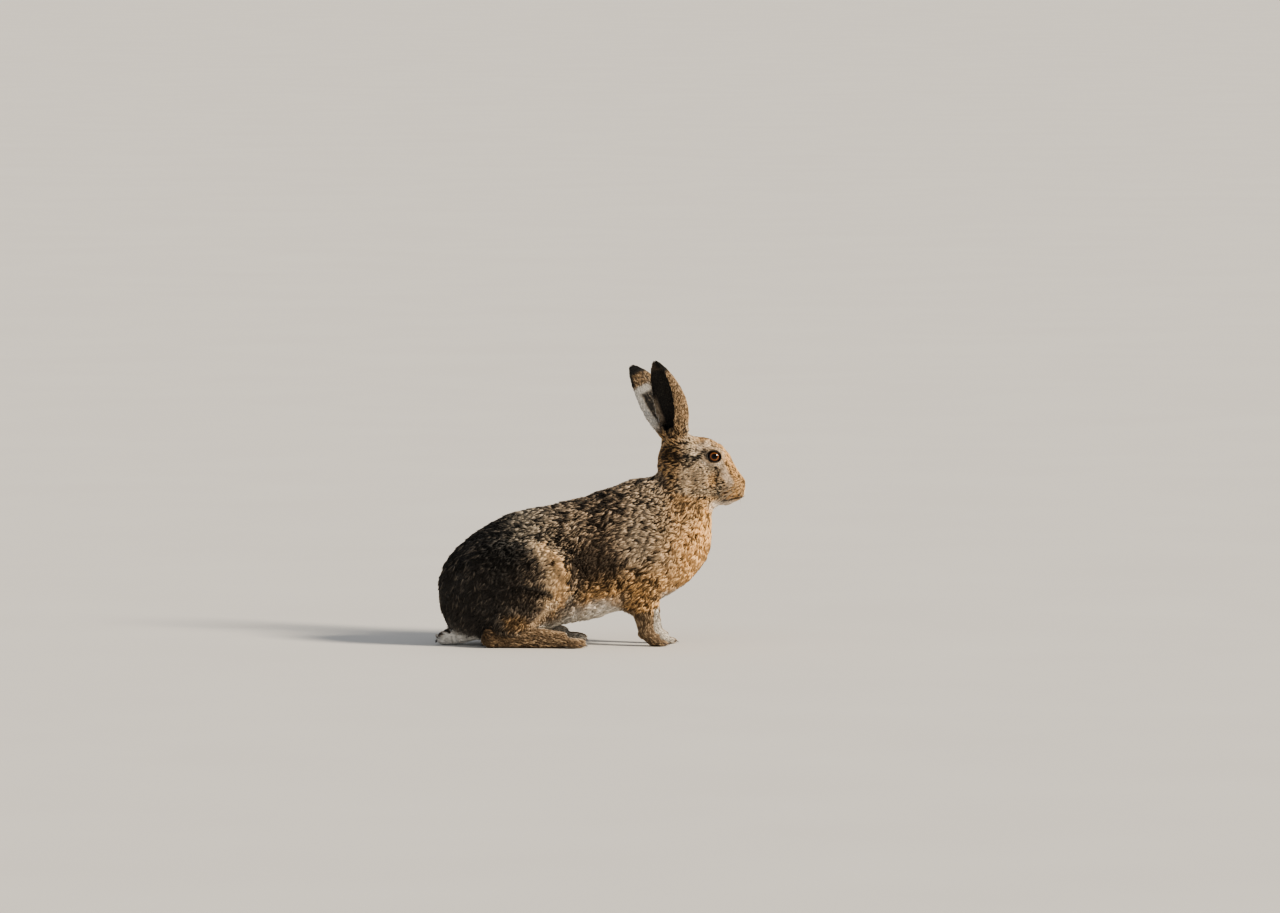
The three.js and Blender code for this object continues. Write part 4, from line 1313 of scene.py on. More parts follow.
        # Folds and creases go to the skin's material, which darkens them as painted shade.
        Markings().write(mesh, sunk, normals, self.zones, hollow * 0.8)
        mesh.materials.append(HareFur("hare_skin_fur", banded=False).build())
        surface = Surface(sunk, normals, triangles, self.zones, lie, sizes[:, 1], sizes[:, 0],
                          hollow)
        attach(obj, BODY)
        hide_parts(*FLESH)
        return obj, surface

    def folds(self, graph: Graph, points: Array, normals: Array) -> Array:
        """Share of a fold at each point: 1 where the body's forms meet in a groove.

        Args:
            graph: Neighbours of the skin's points.
            points: Points of the skin in millimetres.
            normals: Their normals.

        Returns:
            A share for each point.
        """
        spread = graph.even(points, self.spread_rounds)
        hollow = np.sum((spread - points) * unit(normals), axis=1)
        share = rise(0.25, self.fold_mm, hollow)
        share[among(self.zones, Zone.HEAD, Zone.EAR)] = 0.0
        return graph.even(share, 4)

    def relief(self, points: Array, normals: Array) -> tuple[Array, Array]:
        """Height of the swellings less the depth of the creases, and the share of a crease.

        Args:
            points: Points of the skin in millimetres.
            normals: Their normals.

        Returns:
            A height in millimetres and a share for each point.
        """
        height = np.zeros(len(points))
        creased = np.zeros(len(points))
        sideways = rise(0.15, 0.5, np.abs(normals[:, 1]))
        for swelling in SWELLINGS:
            height += swelling.height * near(mirrored(points), swelling.spot, swelling.reach)
        height -= self.cleft_mm * rise(2.6, 0.4, MARKS.off_cleft(points))
        height -= self.nostril_mm * rise(2.8, 0.6, MARKS.off_nostril(points))
        height -= self.mouth_mm * rise(2.4, 0.6, MARKS.off_mouth(points))
        for crease in CREASES:
            here = among(self.zones, *crease.zones) * sideways
            share = np.exp(-(from_line(points, crease.line) / crease.width) ** 2) * here
            height -= crease.depth * share
            full = min(crease.depth / self.full_crease_mm, 1.0)
            creased = np.maximum(creased, share * full)
        return height, creased

    def shaped(self, points: Array, normals: Array, sizes: Array) -> Array:
        """Depth and length of the coat, shorter towards the nose, eyes and mouth.

        Args:
            points: Points of the skin in millimetres.
            normals: Their normals.
            sizes: Depth and length of the coat at each, changed in place.

        Returns:
            The same sizes.
        """
        leg = among(self.zones, Zone.THIGH, Zone.TORSO)
        shank = rise(9.0, 3.0, from_line(points, Markings().shank_edge))
        shank *= leg * rise(24.0, 32.0, np.abs(points[:, 1]))
        sizes[:, 1] *= 1 - 0.55 * shank
        head = among(self.zones, Zone.HEAD)
        short = 0.42 + 0.58 * rise(188.0, 148.0, points[:, 0])
        short *= 0.45 + 0.55 * rise(1.1, 2.3, MARKS.round_eye(points)[0])
        short *= 0.45 + 0.55 * rise(1.5, 6.0, np.minimum(MARKS.off_nostril(points),
                                                         MARKS.off_cleft(points)))
        fold = mirrored(points)
        full = 1.0 + 0.7 * near(fold, (124.0, 24.0, 206.0), 32.0)
        sizes[head] *= (short * full)[head, None]
        along, _, inside = ear_place(points, normals)
        ear = among(self.zones, Zone.EAR)
        sizes[ear, 1] *= 1.0 - 0.35 * inside[ear]
        root = rise(0.24, 0.0, along) * (1 - inside)
        sizes[ear, 0] += 0.8 * root[ear]
        sizes[ear, 1] += 1.8 * root[ear]
        return sizes

    def normals_of(self, points: Array, triangles: Array) -> Array:
        """Normal of each point, weighted by the faces' areas.

        Args:
            points: Points of the skin in millimetres.
            triangles: Corner numbers.

        Returns:
            A unit vector for each point.
        """
        faces = crosses(points, triangles)
        total = np.zeros_like(points)
        for corner in range(3):
            for axis in range(3):
                total[:, axis] += np.bincount(triangles[:, corner], faces[:, axis], len(points))
        return unit(total)


@dataclass(frozen=True)
class Limb:
    """Axis that a zone's coat is unwrapped round, in millimetres."""

    start: Spot
    end: Spot

    def unwrap(self, places: Array) -> Array:
        """Place along the axis and turn round it, both before they are fitted to the map.

        Args:
            places: Points in millimetres.

        Returns:
            Length along the axis in millimetres, and part of a full turn.
        """
        start, end = np.array(self.start), np.array(self.end)
        axis = unit(end - start)
        across = unit(np.cross(axis, (0.0, 1.0, 0.001)))
        third = np.cross(axis, across)
        offset = places - start
        turn = np.arctan2(offset @ third, offset @ across) / math.tau
        return np.stack([offset @ axis, turn], axis=1)


TRUNK_AXIS = Limb((-190.0, 0.0, 85.0), (150.0, 0.0, 140.0))
NECK_AXIS = Limb((80.0, 0.0, 150.0), (135.0, 0.0, 215.0))
HEAD_AXIS = Limb((85.0, 0.0, 240.0), (197.0, 0.0, 204.0))
TAIL_AXIS = Limb((-130.0, 0.0, 16.0), (-198.0, 0.0, 9.0))


@dataclass(frozen=True)
class Patch:
    """Island of a coat piece: a zone, the side or half that it takes, and its axis."""

    zone: Zone
    axis: Limb
    side: int = 0
    behind: float | None = None
    ahead: float | None = None
    inner: bool | None = None

    def holds(self, places: Array, normals: Array, zones: Array) -> Array:
        """True for each place that belongs to the island.

        Args:
            places: Points in millimetres.
            normals: Normals of the skin there.
            zones: Zone numbers.

        Returns:
            One truth value for each place.
        """
        mine = among(zones, self.zone)
        if self.side:
            mine &= places[:, 1] * self.side > 0
        if self.behind is not None:
            mine &= places[:, 0] <= self.behind
        if self.ahead is not None:
            mine &= places[:, 0] > self.ahead
        if self.inner is not None:
            mine &= (ear_place(places, normals)[2] > 0.5) == self.inner
        return mine


def leg_axis(node: str, upright: bool) -> Limb:
    """Axis through the middle of a leg's or foot's box.

    Args:
        node: Name of the node.
        upright: True for an axis that stands.

    Returns:
        The axis.
    """
    low, high = (np.array(corner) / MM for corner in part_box(node))
    middle = (low + high) / 2
    way = np.array([0.0, 0.0, 1.0]) if upright else np.array([1.0, 0.0, 0.0])
    half = way * (high - low) / 2
    return Limb(tuple(middle - half), tuple(middle + half))


def ear_axis(side: Side) -> Limb:
    """Axis of one ear's cup."""
    base, along, _, _, length = MARKS.ear(side)
    return Limb(tuple(base), tuple(base + along * length))


@dataclass(frozen=True)
class CoatPiece:
    """One mesh of tufts: the part slot that it belongs to and its islands."""

    name: str
    slot: str
    patches: tuple[Patch, ...]


def coat_plan() -> list[CoatPiece]:
    """Which islands make up each coat piece, each piece under the limit of triangles.

    Returns:
        The coat's pieces in the order of their making.
    """
    plan = [CoatPiece("coat_neck", "coat_body", (Patch(Zone.NECK, NECK_AXIS),)),
            CoatPiece("coat_tail", "coat_tail", (Patch(Zone.TAIL, TAIL_AXIS),))]
    for side in Side:
        sign, word = side.value, side.word
        for end, limits in (("rear", {"behind": -30.0}), ("fore", {"ahead": -30.0})):
            patch = Patch(Zone.TORSO, TRUNK_AXIS, sign, **limits)
            plan.append(CoatPiece(f"coat_{end}_{word}", "coat_body", (patch,)))
        thigh = Limb((-160.0, sign * 40.0, 85.0), (-10.0, sign * 48.0, 85.0))
        patch = Patch(Zone.THIGH, thigh, sign)
        plan.append(CoatPiece(f"coat_thigh_{word}", "coat_body", (patch,)))
        patch = Patch(Zone.HEAD, HEAD_AXIS, sign)
        plan.append(CoatPiece(f"coat_head_{word}", "coat_head", (patch,)))
        cups = tuple(Patch(Zone.EAR, ear_axis(side), sign, inner=inner)
                     for inner in (False, True))
        plan.append(CoatPiece(f"coat_ear_{word}", "coat_ear", cups))
        legs = tuple(Patch(zone, leg_axis(f"{name}_{word}", upright), sign)
                     for name, zone, upright in (("hind_foot", Zone.HIND_FOOT, False),
                                                 ("foreleg", Zone.FORELEG, True),
                                                 ("forefoot", Zone.FOREFOOT, False)))
        plan.append(CoatPiece(f"coat_legs_{word}", "coat_leg", legs))
    return plan


@dataclass
class Coat:
    """Tufts over the skin, thin and overlapping, gathered into locks at their tips.

    A tuft is closed and has four faces: a point in the skin, two points where it bends over
    and is widest, and its tip. The parts of a length, lift, pull or width are its least share
    and what the tuft's own draw, its lock's draw or chance add.
    """

    surface: Surface
    seed: int = 41
    root_sink_mm: float = 0.5
    thickness: float = 0.6
    bend_at: float = 0.40
    swirl: float = 0.42
    stray: float = 0.12
    curl: float = 0.09
    waves: tuple[tuple[float, float], ...] = ((38.0, 0.5), (17.0, 0.6), (9.0, 0.5))
    waves_each: int = 4
    calm_length: float = 14.0
    length_parts: Spot = (0.66, 0.26, 0.24)
    lift_parts: Spot = (0.50, 0.40, 0.25)
    pull_parts: tuple[float, float] = (0.5, 0.7)
    width_parts: tuple[float, float] = (0.65, 0.7)
    least_rise: float = 0.1
    least_run: float = 0.4
    knee_lift: float = 0.9
    knee_pull: float = 0.2
    tips_apart: float = 0.25
    off_floor_mm: float = 0.15
    off_eye: float = 1.06
    off_mouth_mm: float = 0.8
    off_nostril_mm: float = 1.7
    off_cleft_mm: float = 0.7
    choices: int = 7
    lock_share: float = 0.27
    patch: float = 0.003
    edge: float = 0.006
    faces: tuple[tuple[int, int, int], ...] = ((0, 1, 2), (1, 3, 2), (0, 3, 1), (0, 2, 3))
    along: tuple[float, ...] = (0.0, 0.46, 0.46, 1.0)
    across: tuple[float, ...] = (0.5, 0.0, 1.0, 0.5)

    def sample(self, mine: Array, count: int, rng: np.random.Generator) -> dict[str, Array]:
        """Pick roots evenly over some faces.

        Args:
            mine: Numbers of the faces.
            count: How many roots.
            rng: Seeded draw.

        Returns:
            Place, normal, lie, length, depth, fold and zone for each root.
        """
        s = self.surface
        corners = s.triangles[mine]
        areas = areas_of(s.points, corners)
        pick, u, v = scatter(areas, count, rng)
        weights = np.stack([1 - u - v, u, v], axis=1)[:, :, None]
        chosen = corners[pick]
        normal = unit(self.mean(s.normals, chosen, weights))
        lie = laid(self.mean(s.lie, chosen, weights), normal)
        roots = {"place": self.mean(s.points, chosen, weights), "normal": normal, "lie": lie,
                 "zone": s.zones[chosen[:, 0]], "area": np.full(count, areas.sum())}
        for name, values in (("length", s.length), ("depth", s.depth), ("hollow", s.hollow)):
            roots[name] = self.mean(values, chosen, weights)[:, 0]
        return roots

    def mean(self, values: Array, chosen: Array, weights: Array) -> Array:
        """Values inside faces, from those at their corners."""
        return np.sum(values[chosen].reshape(len(chosen), 3, -1) * weights, axis=1)

    def swirled(self, roots: dict[str, Array], rng: np.random.Generator) -> Array:
        """Lie turned a little by a slow wave over the body and by chance.

        Args:
            roots: Named values of the tufts' roots.
            rng: Source of the draws.

        Returns:
            The turned lie of each root.
        """
        place = roots["place"]
        wave = np.zeros(len(place))
        for period, weight in self.waves:
            way = rng.normal(size=(self.waves_each, 3))
            shift = rng.random(self.waves_each) * math.tau
            for k in range(self.waves_each):
                phase = place @ unit(way[k]) * math.tau / period + shift[k]
                wave += weight * np.sin(phase) / 2
        angle = wave * self.swirl + rng.normal(size=len(place)) * self.stray
        calm = np.clip(roots["length"] / self.calm_length, 0.25, 1.0)
        angle = (angle * calm)[:, None]
        side = np.cross(roots["normal"], roots["lie"])
        return roots["lie"] * np.cos(angle) + side * np.sin(angle)

    def locks(self, root: Array, lie: Array, centres: Array) -> Array:
        """Number of the lock's middle that each root belongs to, in cells long with the lie.

        Args:
            root: Places of the roots.
            lie: Lie of the hair at each.
            centres: Middles of the locks.

        Returns:
            A number for each root.
        """
        tree = tree_of(centres)
        around = min(self.choices, len(centres))
        close = np.array([[found[1] for found in tree.find_n(spot, around)] for spot in root])
        offset = root[:, None] - centres[close]
        with_lie = np.sum(offset * lie[:, None], axis=2)
        whole = np.sum(offset ** 2, axis=2)
        best = np.argmin(whole - with_lie ** 2 * (1 - self.lock_share ** 2), axis=1)
        return close[np.arange(len(root)), best]

    def shape(self, roots: dict[str, Array], kind: CoatKind,
              rng: np.random.Generator) -> tuple[Array, Array, Array]:
        """Points of all tufts.

        Args:
            roots: What sample gave.
            kind: Sizes of the hair here.
            rng: Seeded draw.

        Returns:
            Four points for each tuft, its random share, and its lock's share.
        """
        count = len(roots["place"])
        lie = self.swirled(roots, rng)
        normal = roots["normal"]
        vary = rng.random(count)
        root = roots["place"] - normal * self.root_sink_mm
        centres = int(np.clip(roots["area"][0] / kind.clump ** 2, 8, count))
        chosen = rng.choice(count, centres, replace=False)
        lock = self.locks(root, lie, root[chosen])
        tone = rng.random(len(chosen))[lock]
        bend = (rng.random(len(chosen)) * 2 - 1)[lock]
        least, by_hair, by_lock = self.length_parts
        length = roots["length"] * (least + by_hair * vary + by_lock * tone)
        least, by_lock, by_chance = self.lift_parts
        lift = roots["depth"] * (least + by_lock * tone + by_chance * rng.random(count))
        lift = np.maximum(lift, self.root_sink_mm + length * self.least_rise)
        run = np.sqrt(np.maximum(length ** 2 - lift ** 2, (self.least_run * length) ** 2))
        tip = root + lie * run[:, None] + normal * lift[:, None]
        knee = root + lie * (self.bend_at * run)[:, None]
        knee = knee + normal * (lift * self.knee_lift)[:, None]
        goal = tip[chosen[lock]] + (root - root[chosen[lock]]) * self.tips_apart
        least, by_chance = self.pull_parts
        pull = (kind.pull * (least + by_chance * rng.random(count)))[:, None]
        tip = tip + (goal - tip) * pull
        knee = knee + (goal - tip) * pull * self.knee_pull
        across = np.cross(normal, lie)
        knee = knee + across * (bend * length * self.curl)[:, None]
        tip = tip - across * (bend * length * self.curl)[:, None]
        side = unit(np.cross(normal, tip - root))
        least, by_chance = self.width_parts
        half = kind.width * (least + by_chance * rng.random(count))[:, None] / 2
        knee = knee + normal * half * self.thickness
        points = np.stack([root, knee - side * half, knee + side * half, tip], axis=1)
        points[:, :, 2] = np.maximum(points[:, :, 2], self.off_floor_mm)
        return points, vary, tone

    def build_piece(self, piece: CoatPiece, number: int, material: bpy.types.Material) -> int:
        """Make one coat piece with its attributes and its map.

        Args:
            piece: Name, slot and islands.
            number: Its place in the plan, for its own draw.
            material: Material of the hair.

        Returns:
            Its number of tufts.
        """
        s = self.surface
        rng = np.random.default_rng(self.seed + number)
        centre = s.points[s.triangles].mean(axis=1)
        facing = s.normals[s.triangles[:, 0]]
        zones = s.zones[s.triangles[:, 0]]
        columns = math.ceil(math.sqrt(len(piece.patches)))
        cell = 1.0 / columns
        points, marks, maps, tufts = [], [], [], []
        for island, patch in enumerate(piece.patches):
            kind = COATS[patch.zone]
            mine = np.nonzero(patch.holds(centre, facing, zones))[0]
            whole = np.nonzero(among(zones, patch.zone))[0]
            part, total = (float(areas_of(s.points, s.triangles[some]).sum())
                           for some in (mine, whole))
            count = int(kind.tufts * part / total)
            roots = self.kept(self.sample(mine, count, rng))
            shape, vary, tone = self.shape(roots, kind, rng)
            points.append(shape.reshape(-1, 3))
            marks.append([roots[name] for name in ("place", "normal", "zone", "hollow")])
            place = patch.axis.unwrap(roots["place"])
            low, high = place.min(axis=0), place.max(axis=0)
            place = (place - low) / (high - low)
            corner = np.array([island % columns, island // columns]) * cell
            maps.append(corner + cell * (self.edge + place * (1 - 3 * self.edge)))
            tufts.append(np.stack([vary, tone], axis=1))
        ring = len(self.along)
        place, normal, zone, hollow = (np.repeat(np.concatenate(part), ring, axis=0)
                                       for part in zip(*marks))
        count = len(place) // ring
        faces = np.array(self.faces)
        triangles = (np.arange(count)[:, None, None] * ring + faces).reshape(-1, 3)
        obj = make_mesh(piece.name, np.concatenate(points), triangles)
        mesh = obj.data
        # Folds and creases go to the hair's material, which darkens them as painted shade.
        Markings().write(mesh, place, normal, zone, hollow * 0.9)
        along = np.tile(self.along, count)
        own = np.repeat(np.concatenate(tufts), ring, axis=0)
        store(mesh, "tuft", [along, own[:, 0], own[:, 1]])
        shift = np.stack([np.tile(self.across, count), along], axis=1)
        corner = np.repeat(np.concatenate(maps), ring, axis=0) + self.patch * shift
        layer = mesh.uv_layers.new(name="OFBake")
        layer.data.foreach_set("uv", corner[triangles.ravel()].astype(np.float32).ravel())
        mesh.materials.append(material)
        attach(obj, BODY)
        return count

    def kept(self, roots: dict[str, Array]) -> dict[str, Array]:
        """Roots clear of the eyes, the line of the mouth and the nostrils.

        Args:
            roots: Named values of the tufts' roots.

        Returns:
            The same values for the roots that stay.
        """
        place, head = roots["place"], among(roots["zone"], Zone.HEAD)
        bare = MARKS.round_eye(place)[0] < self.off_eye
        bare |= MARKS.off_mouth(place) < self.off_mouth_mm
        bare |= MARKS.off_nostril(place) < self.off_nostril_mm
        bare |= MARKS.off_cleft(place) < self.off_cleft_mm
        keep = ~(bare & head)
        return {name: values[keep] for name, values in roots.items()}

    def build(self) -> int:
        """Make every coat piece.

        Returns:
            The number of tufts in all.
        """
        material = HareFur("hare_coat_hair", banded=True).build()
        total = 0
        for number, piece in enumerate(coat_plan()):
            made = self.build_piece(piece, number, material)
            LOG.info("%s: %d tufts", piece.name, made)
            total += made
        return total


@dataclass
class Eye:
    """Eyeball with a raised cornea, turned towards where the animal looks."""

    side: Side
    around: int = 48
    rows: int = 32
    bulge: float = 0.035
    cornea_angle: float = 0.62
    upright_pupil: float = 0.10
    gaze_scale: float = 1.6

    def build(self, material: bpy.types.Material) -> bpy.types.Object:
        """Make the eyeball in the place of the plain ball.

        Args:
            material: Finish of the eye.

        Returns:
            The eyeball.
        """
        node = f"eye_{self.side.word}"
        low, high = (np.array(corner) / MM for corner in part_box(node))
        centre = (low + high) / 2
        radius = float((high - low).max() / 2)
        _, look, fore, up = MARKS.eye_frame(self.side)
        points = [centre + look * radius * (1 + self.bulge)]
        gaze = [(0.0, 0.5, 0.5)]
        for row in range(1, self.rows):
            angle = math.pi * row / self.rows
            swell = 1 + self.bulge * math.exp(-(angle / self.cornea_angle) ** 4)
            for step in range(self.around):
                turn = math.tau * step / self.around
                flat = fore * math.cos(turn) + up * math.sin(turn)
                ray = look * math.cos(angle) + flat * math.sin(angle)
                points.append(centre + ray * radius * swell)
                oval = angle / math.pi * (1.0 + self.upright_pupil * math.sin(turn) ** 2)
                gaze.append((oval * self.gaze_scale, 0.5 + 0.5 * math.cos(turn),
                             0.5 + 0.5 * math.sin(turn)))
        points.append(centre - look * radius)
        gaze.append((1.0, 0.5, 0.5))
        triangles = []
        for step in range(self.around):
            after = (step + 1) % self.around
            triangles.append((0, 1 + step, 1 + after))
            last = 1 + (self.rows - 2) * self.around
            triangles.append((len(points) - 1, last + after, last + step))
            for row in range(self.rows - 2):
                a, b = 1 + row * self.around + step, 1 + row * self.around + after
                triangles += [(a, a + self.around, b + self.around), (a, b + self.around, b)]
        obj = make_mesh(f"eyeball_{self.side.word}", np.array(points), np.array(triangles))
        outward(obj)
        store(obj.data, "gaze", list(np.array(gaze).T))
        obj.data.materials.append(material)
        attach(obj, BODY)
        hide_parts(node)
        return obj


def outward(obj: bpy.types.Object) -> None:
    """Turn all faces of a closed mesh outwards.

    Args:
        obj: Object with a closed mesh.
    """
    shape = bmesh.new()
    shape.from_mesh(obj.data)
    bmesh.ops.recalc_face_normals(shape, faces=shape.faces)
    shape.to_mesh(obj.data)
    shape.free()


def tube(path: Array, radii: Array, sides: int, ring: bool) -> tuple[Array, Array]:
    """Round bar along a path, closed into a ring or with capped ends.

    Args:
        path: Points of the middle line, in millimetres.
        radii: Radius at each.
        sides: Sides round it.
        ring: Whether it closes on itself.

    Returns:
        Its points and triangles.
    """
    count = len(path)
    if ring:
        along = unit(np.roll(path, -1, axis=0) - np.roll(path, 1, axis=0))
    else:
        along = unit(np.gradient(path, axis=0))
    guide = path - path.mean(axis=0)
    guide = guide - along * np.sum(guide * along, axis=1, keepdims=True)
    weak = np.linalg.norm(guide, axis=1) < 0.2
    guide[weak] = np.cross(along[weak], (0.3, 0.2, 0.9))
    out = unit(guide)
    up = np.cross(along, out)
    turn = np.arange(sides) * math.tau / sides
    circle = out[:, None] * np.cos(turn)[:, None] + up[:, None] * np.sin(turn)[:, None]
    points = (path[:, None] + circle * np.asarray(radii)[:, None, None]).reshape(-1, 3)
    triangles = []
    for i in range(count if ring else count - 1):
        for j in range(sides):
            a, b = i * sides + j, i * sides + (j + 1) % sides
            c, d = ((i + 1) % count) * sides + (j + 1) % sides, ((i + 1) % count) * sides + j
            triangles += [(a, c, b), (a, d, c)]
    if not ring:
        points = np.concatenate([points, path[:1], path[-1:]])
        end = (count - 1) * sides
        for j in range(sides):
            k = (j + 1) % sides
            triangles += [(j, k, count * sides), (end + k, end + j, count * sides + 1)]
    return points, np.array(triangles)


def joined(parts: list[tuple[Array, Array]]) -> tuple[Array, Array]:
    """Several sets of points and triangles as one.

    Args:
        parts: Points and triangles of each set.

    Returns:
        Points and triangles.
    """
    points, triangles, shift = [], [], 0
    for part, faces in parts:
        points.append(part)
        triangles.append(faces + shift)
        shift += len(part)
    return np.concatenate(points), np.concatenate(triangles)


@dataclass
class LidRims:
    """Dark bare edges of the lids round both eyes."""

    long: float = 9.0
    high: float = 6.3
    low: float = 6.8
    thick: float = 0.85
    point: float = 0.8
    corner: float = 1.0
    turns: int = 48
    sides: int = 8

    def build(self) -> bpy.types.Object:
        """Make both rims as one piece.

        Returns:
            The finished piece.
        """
        parts = []
        for side in Side:
            centre, look, fore, up = MARKS.eye_frame(side)
            turn = np.arange(self.turns) * math.tau / self.turns
            cosine = np.cos(turn)
            long = self.long * np.sign(cosine) * np.abs(cosine) ** self.point
            long += self.corner * np.maximum(cosine, 0) ** 6
            sine = np.sin(turn)
            high = np.where(sine > 0, self.high, self.low) * sine
            high -= self.corner * np.maximum(cosine, 0) ** 6
            reach = MARKS.eye_radius + 0.55
            out = np.sqrt(reach ** 2 - long ** 2 - high ** 2)
            path = centre + np.outer(long, fore) + np.outer(high, up) + np.outer(out, look)
            thick = self.thick * (1.0 + 0.45 * np.maximum(sine, 0))
            parts.append(tube(path, thick, self.sides, True))
        obj = make_mesh("lid_rims", *joined(parts))
        outward(obj)
        obj.data.materials.append(Horn("wet_dark_lid", "#120c08", "#1f150e", 0.5, 0.15).build())
        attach(obj, BODY)
        return obj


@dataclass
class TaperedBars:
    """Round bars that taper along lines, made by one tree of Geometry Nodes.

    Sizes are in millimetres. The radius falls from the root's to the tip's share of it by a
    power of the way along, so that a low power gives a cone and a high one a hooked claw.
    """

    name: str
    root_radius: float
    tip_share: float
    power: float
    sides: int

    def tree(self) -> bpy.types.NodeTree:
        """Node tree that gives lines a tapering round section.

        Returns:
            The tree, with an input for each size.
        """
        tree = bpy.data.node_groups.new(f"{self.name}_bars", "GeometryNodeTree")
        face = tree.interface
        face.new_socket("Geometry", in_out="INPUT", socket_type="NodeSocketGeometry")
        for name, kind in (("Root radius", "Float"), ("Tip share", "Float"), ("Power", "Float"),
                           ("Sides", "Int"), ("Material", "Material")):
            face.new_socket(name, in_out="INPUT", socket_type=f"NodeSocket{kind}")
        face.new_socket("Geometry", in_out="OUTPUT", socket_type="NodeSocketGeometry")
        given = add_node(tree, "NodeGroupInput").outputs
        curve = add_node(tree, "GeometryNodeMeshToCurve", {"Mesh": given["Geometry"]})
        share = add_node(tree, "GeometryNodeSplineParameter").outputs["Factor"]
        bent = add_node(tree, "ShaderNodeMath", {0: share, 1: given["Power"]}, operation="POWER")
        taper = add_node(tree, "ShaderNodeMapRange", {
            0: bent.outputs[0], 3: 1.0, 4: given["Tip share"]})
        size = add_node(tree, "ShaderNodeMath", {
            0: taper.outputs[0], 1: given["Root radius"]}, operation="MULTIPLY").outputs[0]
        ring = add_node(tree, "GeometryNodeCurvePrimitiveCircle", {
            "Resolution": given["Sides"], "Radius": 1.0})
        solid = add_node(tree, "GeometryNodeCurveToMesh", {
            "Curve": curve.outputs[0], "Profile Curve": ring.outputs[0],
            "Scale": size, "Fill Caps": True})
        real = add_node(tree, "GeometryNodeRealizeInstances", {0: solid.outputs[0]})
        done = add_node(tree, "GeometryNodeSetMaterial", {
            "Geometry": real.outputs[0], "Material": given["Material"]})
        add_node(tree, "NodeGroupOutput", {0: done.outputs[0]})
        return tree

    def build(self, lines: list[Array], material: bpy.types.Material) -> bpy.types.Object:
        """Make the bars as one plain mesh.

        Args:
            lines: Middle line of each bar, in millimetres, all with as many points.
            material: Their finish.

        Returns:
            The object.
        """
        mesh = bpy.data.meshes.new(self.name)
        steps = len(lines[0])
        edges = [(number * steps + i, number * steps + i + 1)
                 for number in range(len(lines)) for i in range(steps - 1)]
        mesh.from_pydata([Vector(p * MM) for p in np.concatenate(lines)], edges, [])
        obj = linked(self.name, mesh)
        modifier = obj.modifiers.new("bars", "NODES")
        modifier.node_group = self.tree()
        values = {"Root radius": self.root_radius * MM, "Tip share": self.tip_share,
                  "Power": self.power, "Sides": self.sides, "Material": material}
        for item in modifier.node_group.interface.items_tree:
            if item.in_out == "INPUT" and item.name in values:
                modifier[item.identifier] = values[item.name]
        settle(obj)
        outward(obj)
        return obj


@dataclass
class Claws:
    """Four curved claws on each foot, showing past the hair of the toes."""

    hind_length: float = 10.0
    fore_length: float = 8.5
    sunk: float = 0.66
    steps: int = 7
    bars: TaperedBars = field(default_factory=lambda: TaperedBars("claws", 1.25, 0.12, 1.6, 8))

    def toe_tips(self, node: str) -> Array:
        """Foremost point of each of a foot's four toes.

        Args:
            node: Name of the foot's node.

        Returns:
            One place for each toe, in millimetres.
        """
        points = read_points(bpy.data.objects[node].data)
        front = points[points[:, 0] > points[:, 0].max() - 14.0]
        low, high = front[:, 1].min(), front[:, 1].max()
        share = (front[:, 1] - low) / (high - low)
        tips = []
        for toe in range(4):
            band = front[(share >= toe / 4) & (share <= (toe + 1) / 4)]
            tips.append([band[:, 0].max(), low + (toe + 0.5) / 4 * (high - low), 3.6])
        return np.array(tips)

    def build(self) -> bpy.types.Object:
        """Make all sixteen claws as one piece.

        Returns:
            The finished piece.
        """
        share = np.linspace(0.0, 1.0, self.steps)
        lines = []
        for side in Side:
            for foot, length in (("hind_foot", self.hind_length), ("forefoot", self.fore_length)):
                for tip in self.toe_tips(f"{foot}_{side.word}"):
                    lines.append(np.stack([
                        tip[0] + length * (share - self.sunk),
                        np.full(self.steps, tip[1]),
                        tip[2] + 1.2 - 3.0 * share ** 2.2,
                    ], axis=1))
        obj = self.bars.build(lines, Horn("claw_keratin", "#2b2018", "#57463a", 0.4).build())
        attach(obj, BODY)
        return obj


@dataclass
class Whiskers:
    """Long stiff hairs on both sides of the muzzle, and a few over each eye."""

    length: float = 56.0
    brow_length: float = 22.0
    widest: float = 52.0
    steps: int = 9
    seed: int = 9
    bars: TaperedBars = field(default_factory=lambda: TaperedBars("whiskers", 0.17, 0.2, 1.0, 5))

    def lines(self) -> list[Array]:
        """Middle line of each whisker, in millimetres.

        Returns:
            Points of each line, from root to tip.
        """
        rng = np.random.default_rng(self.seed)
        lines = []
        share = np.linspace(0.0, 1.0, self.steps)[:, None]
        for side in Side:
            for number, root in enumerate(MARKS.whisker_roots(side)):
                row, back = number // 4, number % 4 / 3
                way = np.array([0.28 - 0.75 * back, side.value, -0.25 + 0.16 * row])
                way = unit(way + rng.normal(size=3) * 0.10)
                droop = np.array([-0.16, 0.0, -0.30]) * (0.6 + 0.7 * rng.random())
                size = self.length * (0.55 + 0.45 * back) * (0.7 + 0.35 * rng.random())
                size = min(size, self.widest / max(abs(way[1]), 0.3))
                lines.append(root + way * size * share + droop * size * share ** 2)
            for step in range(3):
                root = np.array([151.0 + 4 * step, side.value * 17.5, 252.5])
                way = unit(np.array([0.15 + 0.2 * step, side.value * 0.8, 0.75]))
                bend = np.array([-0.2, 0.0, -0.2])
                lines.append(root + (way * share + bend * share ** 2) * self.brow_length)
        return lines

    def build(self) -> bpy.types.Object:
        """Make all whiskers as one piece.

        Returns:
            The finished piece.
        """
        material = Horn("whisker_keratin", "#d8d0c0", "#6f6558", 0.45).build()
        obj = self.bars.build(self.lines(), material)
        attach(obj, BODY)
        return obj


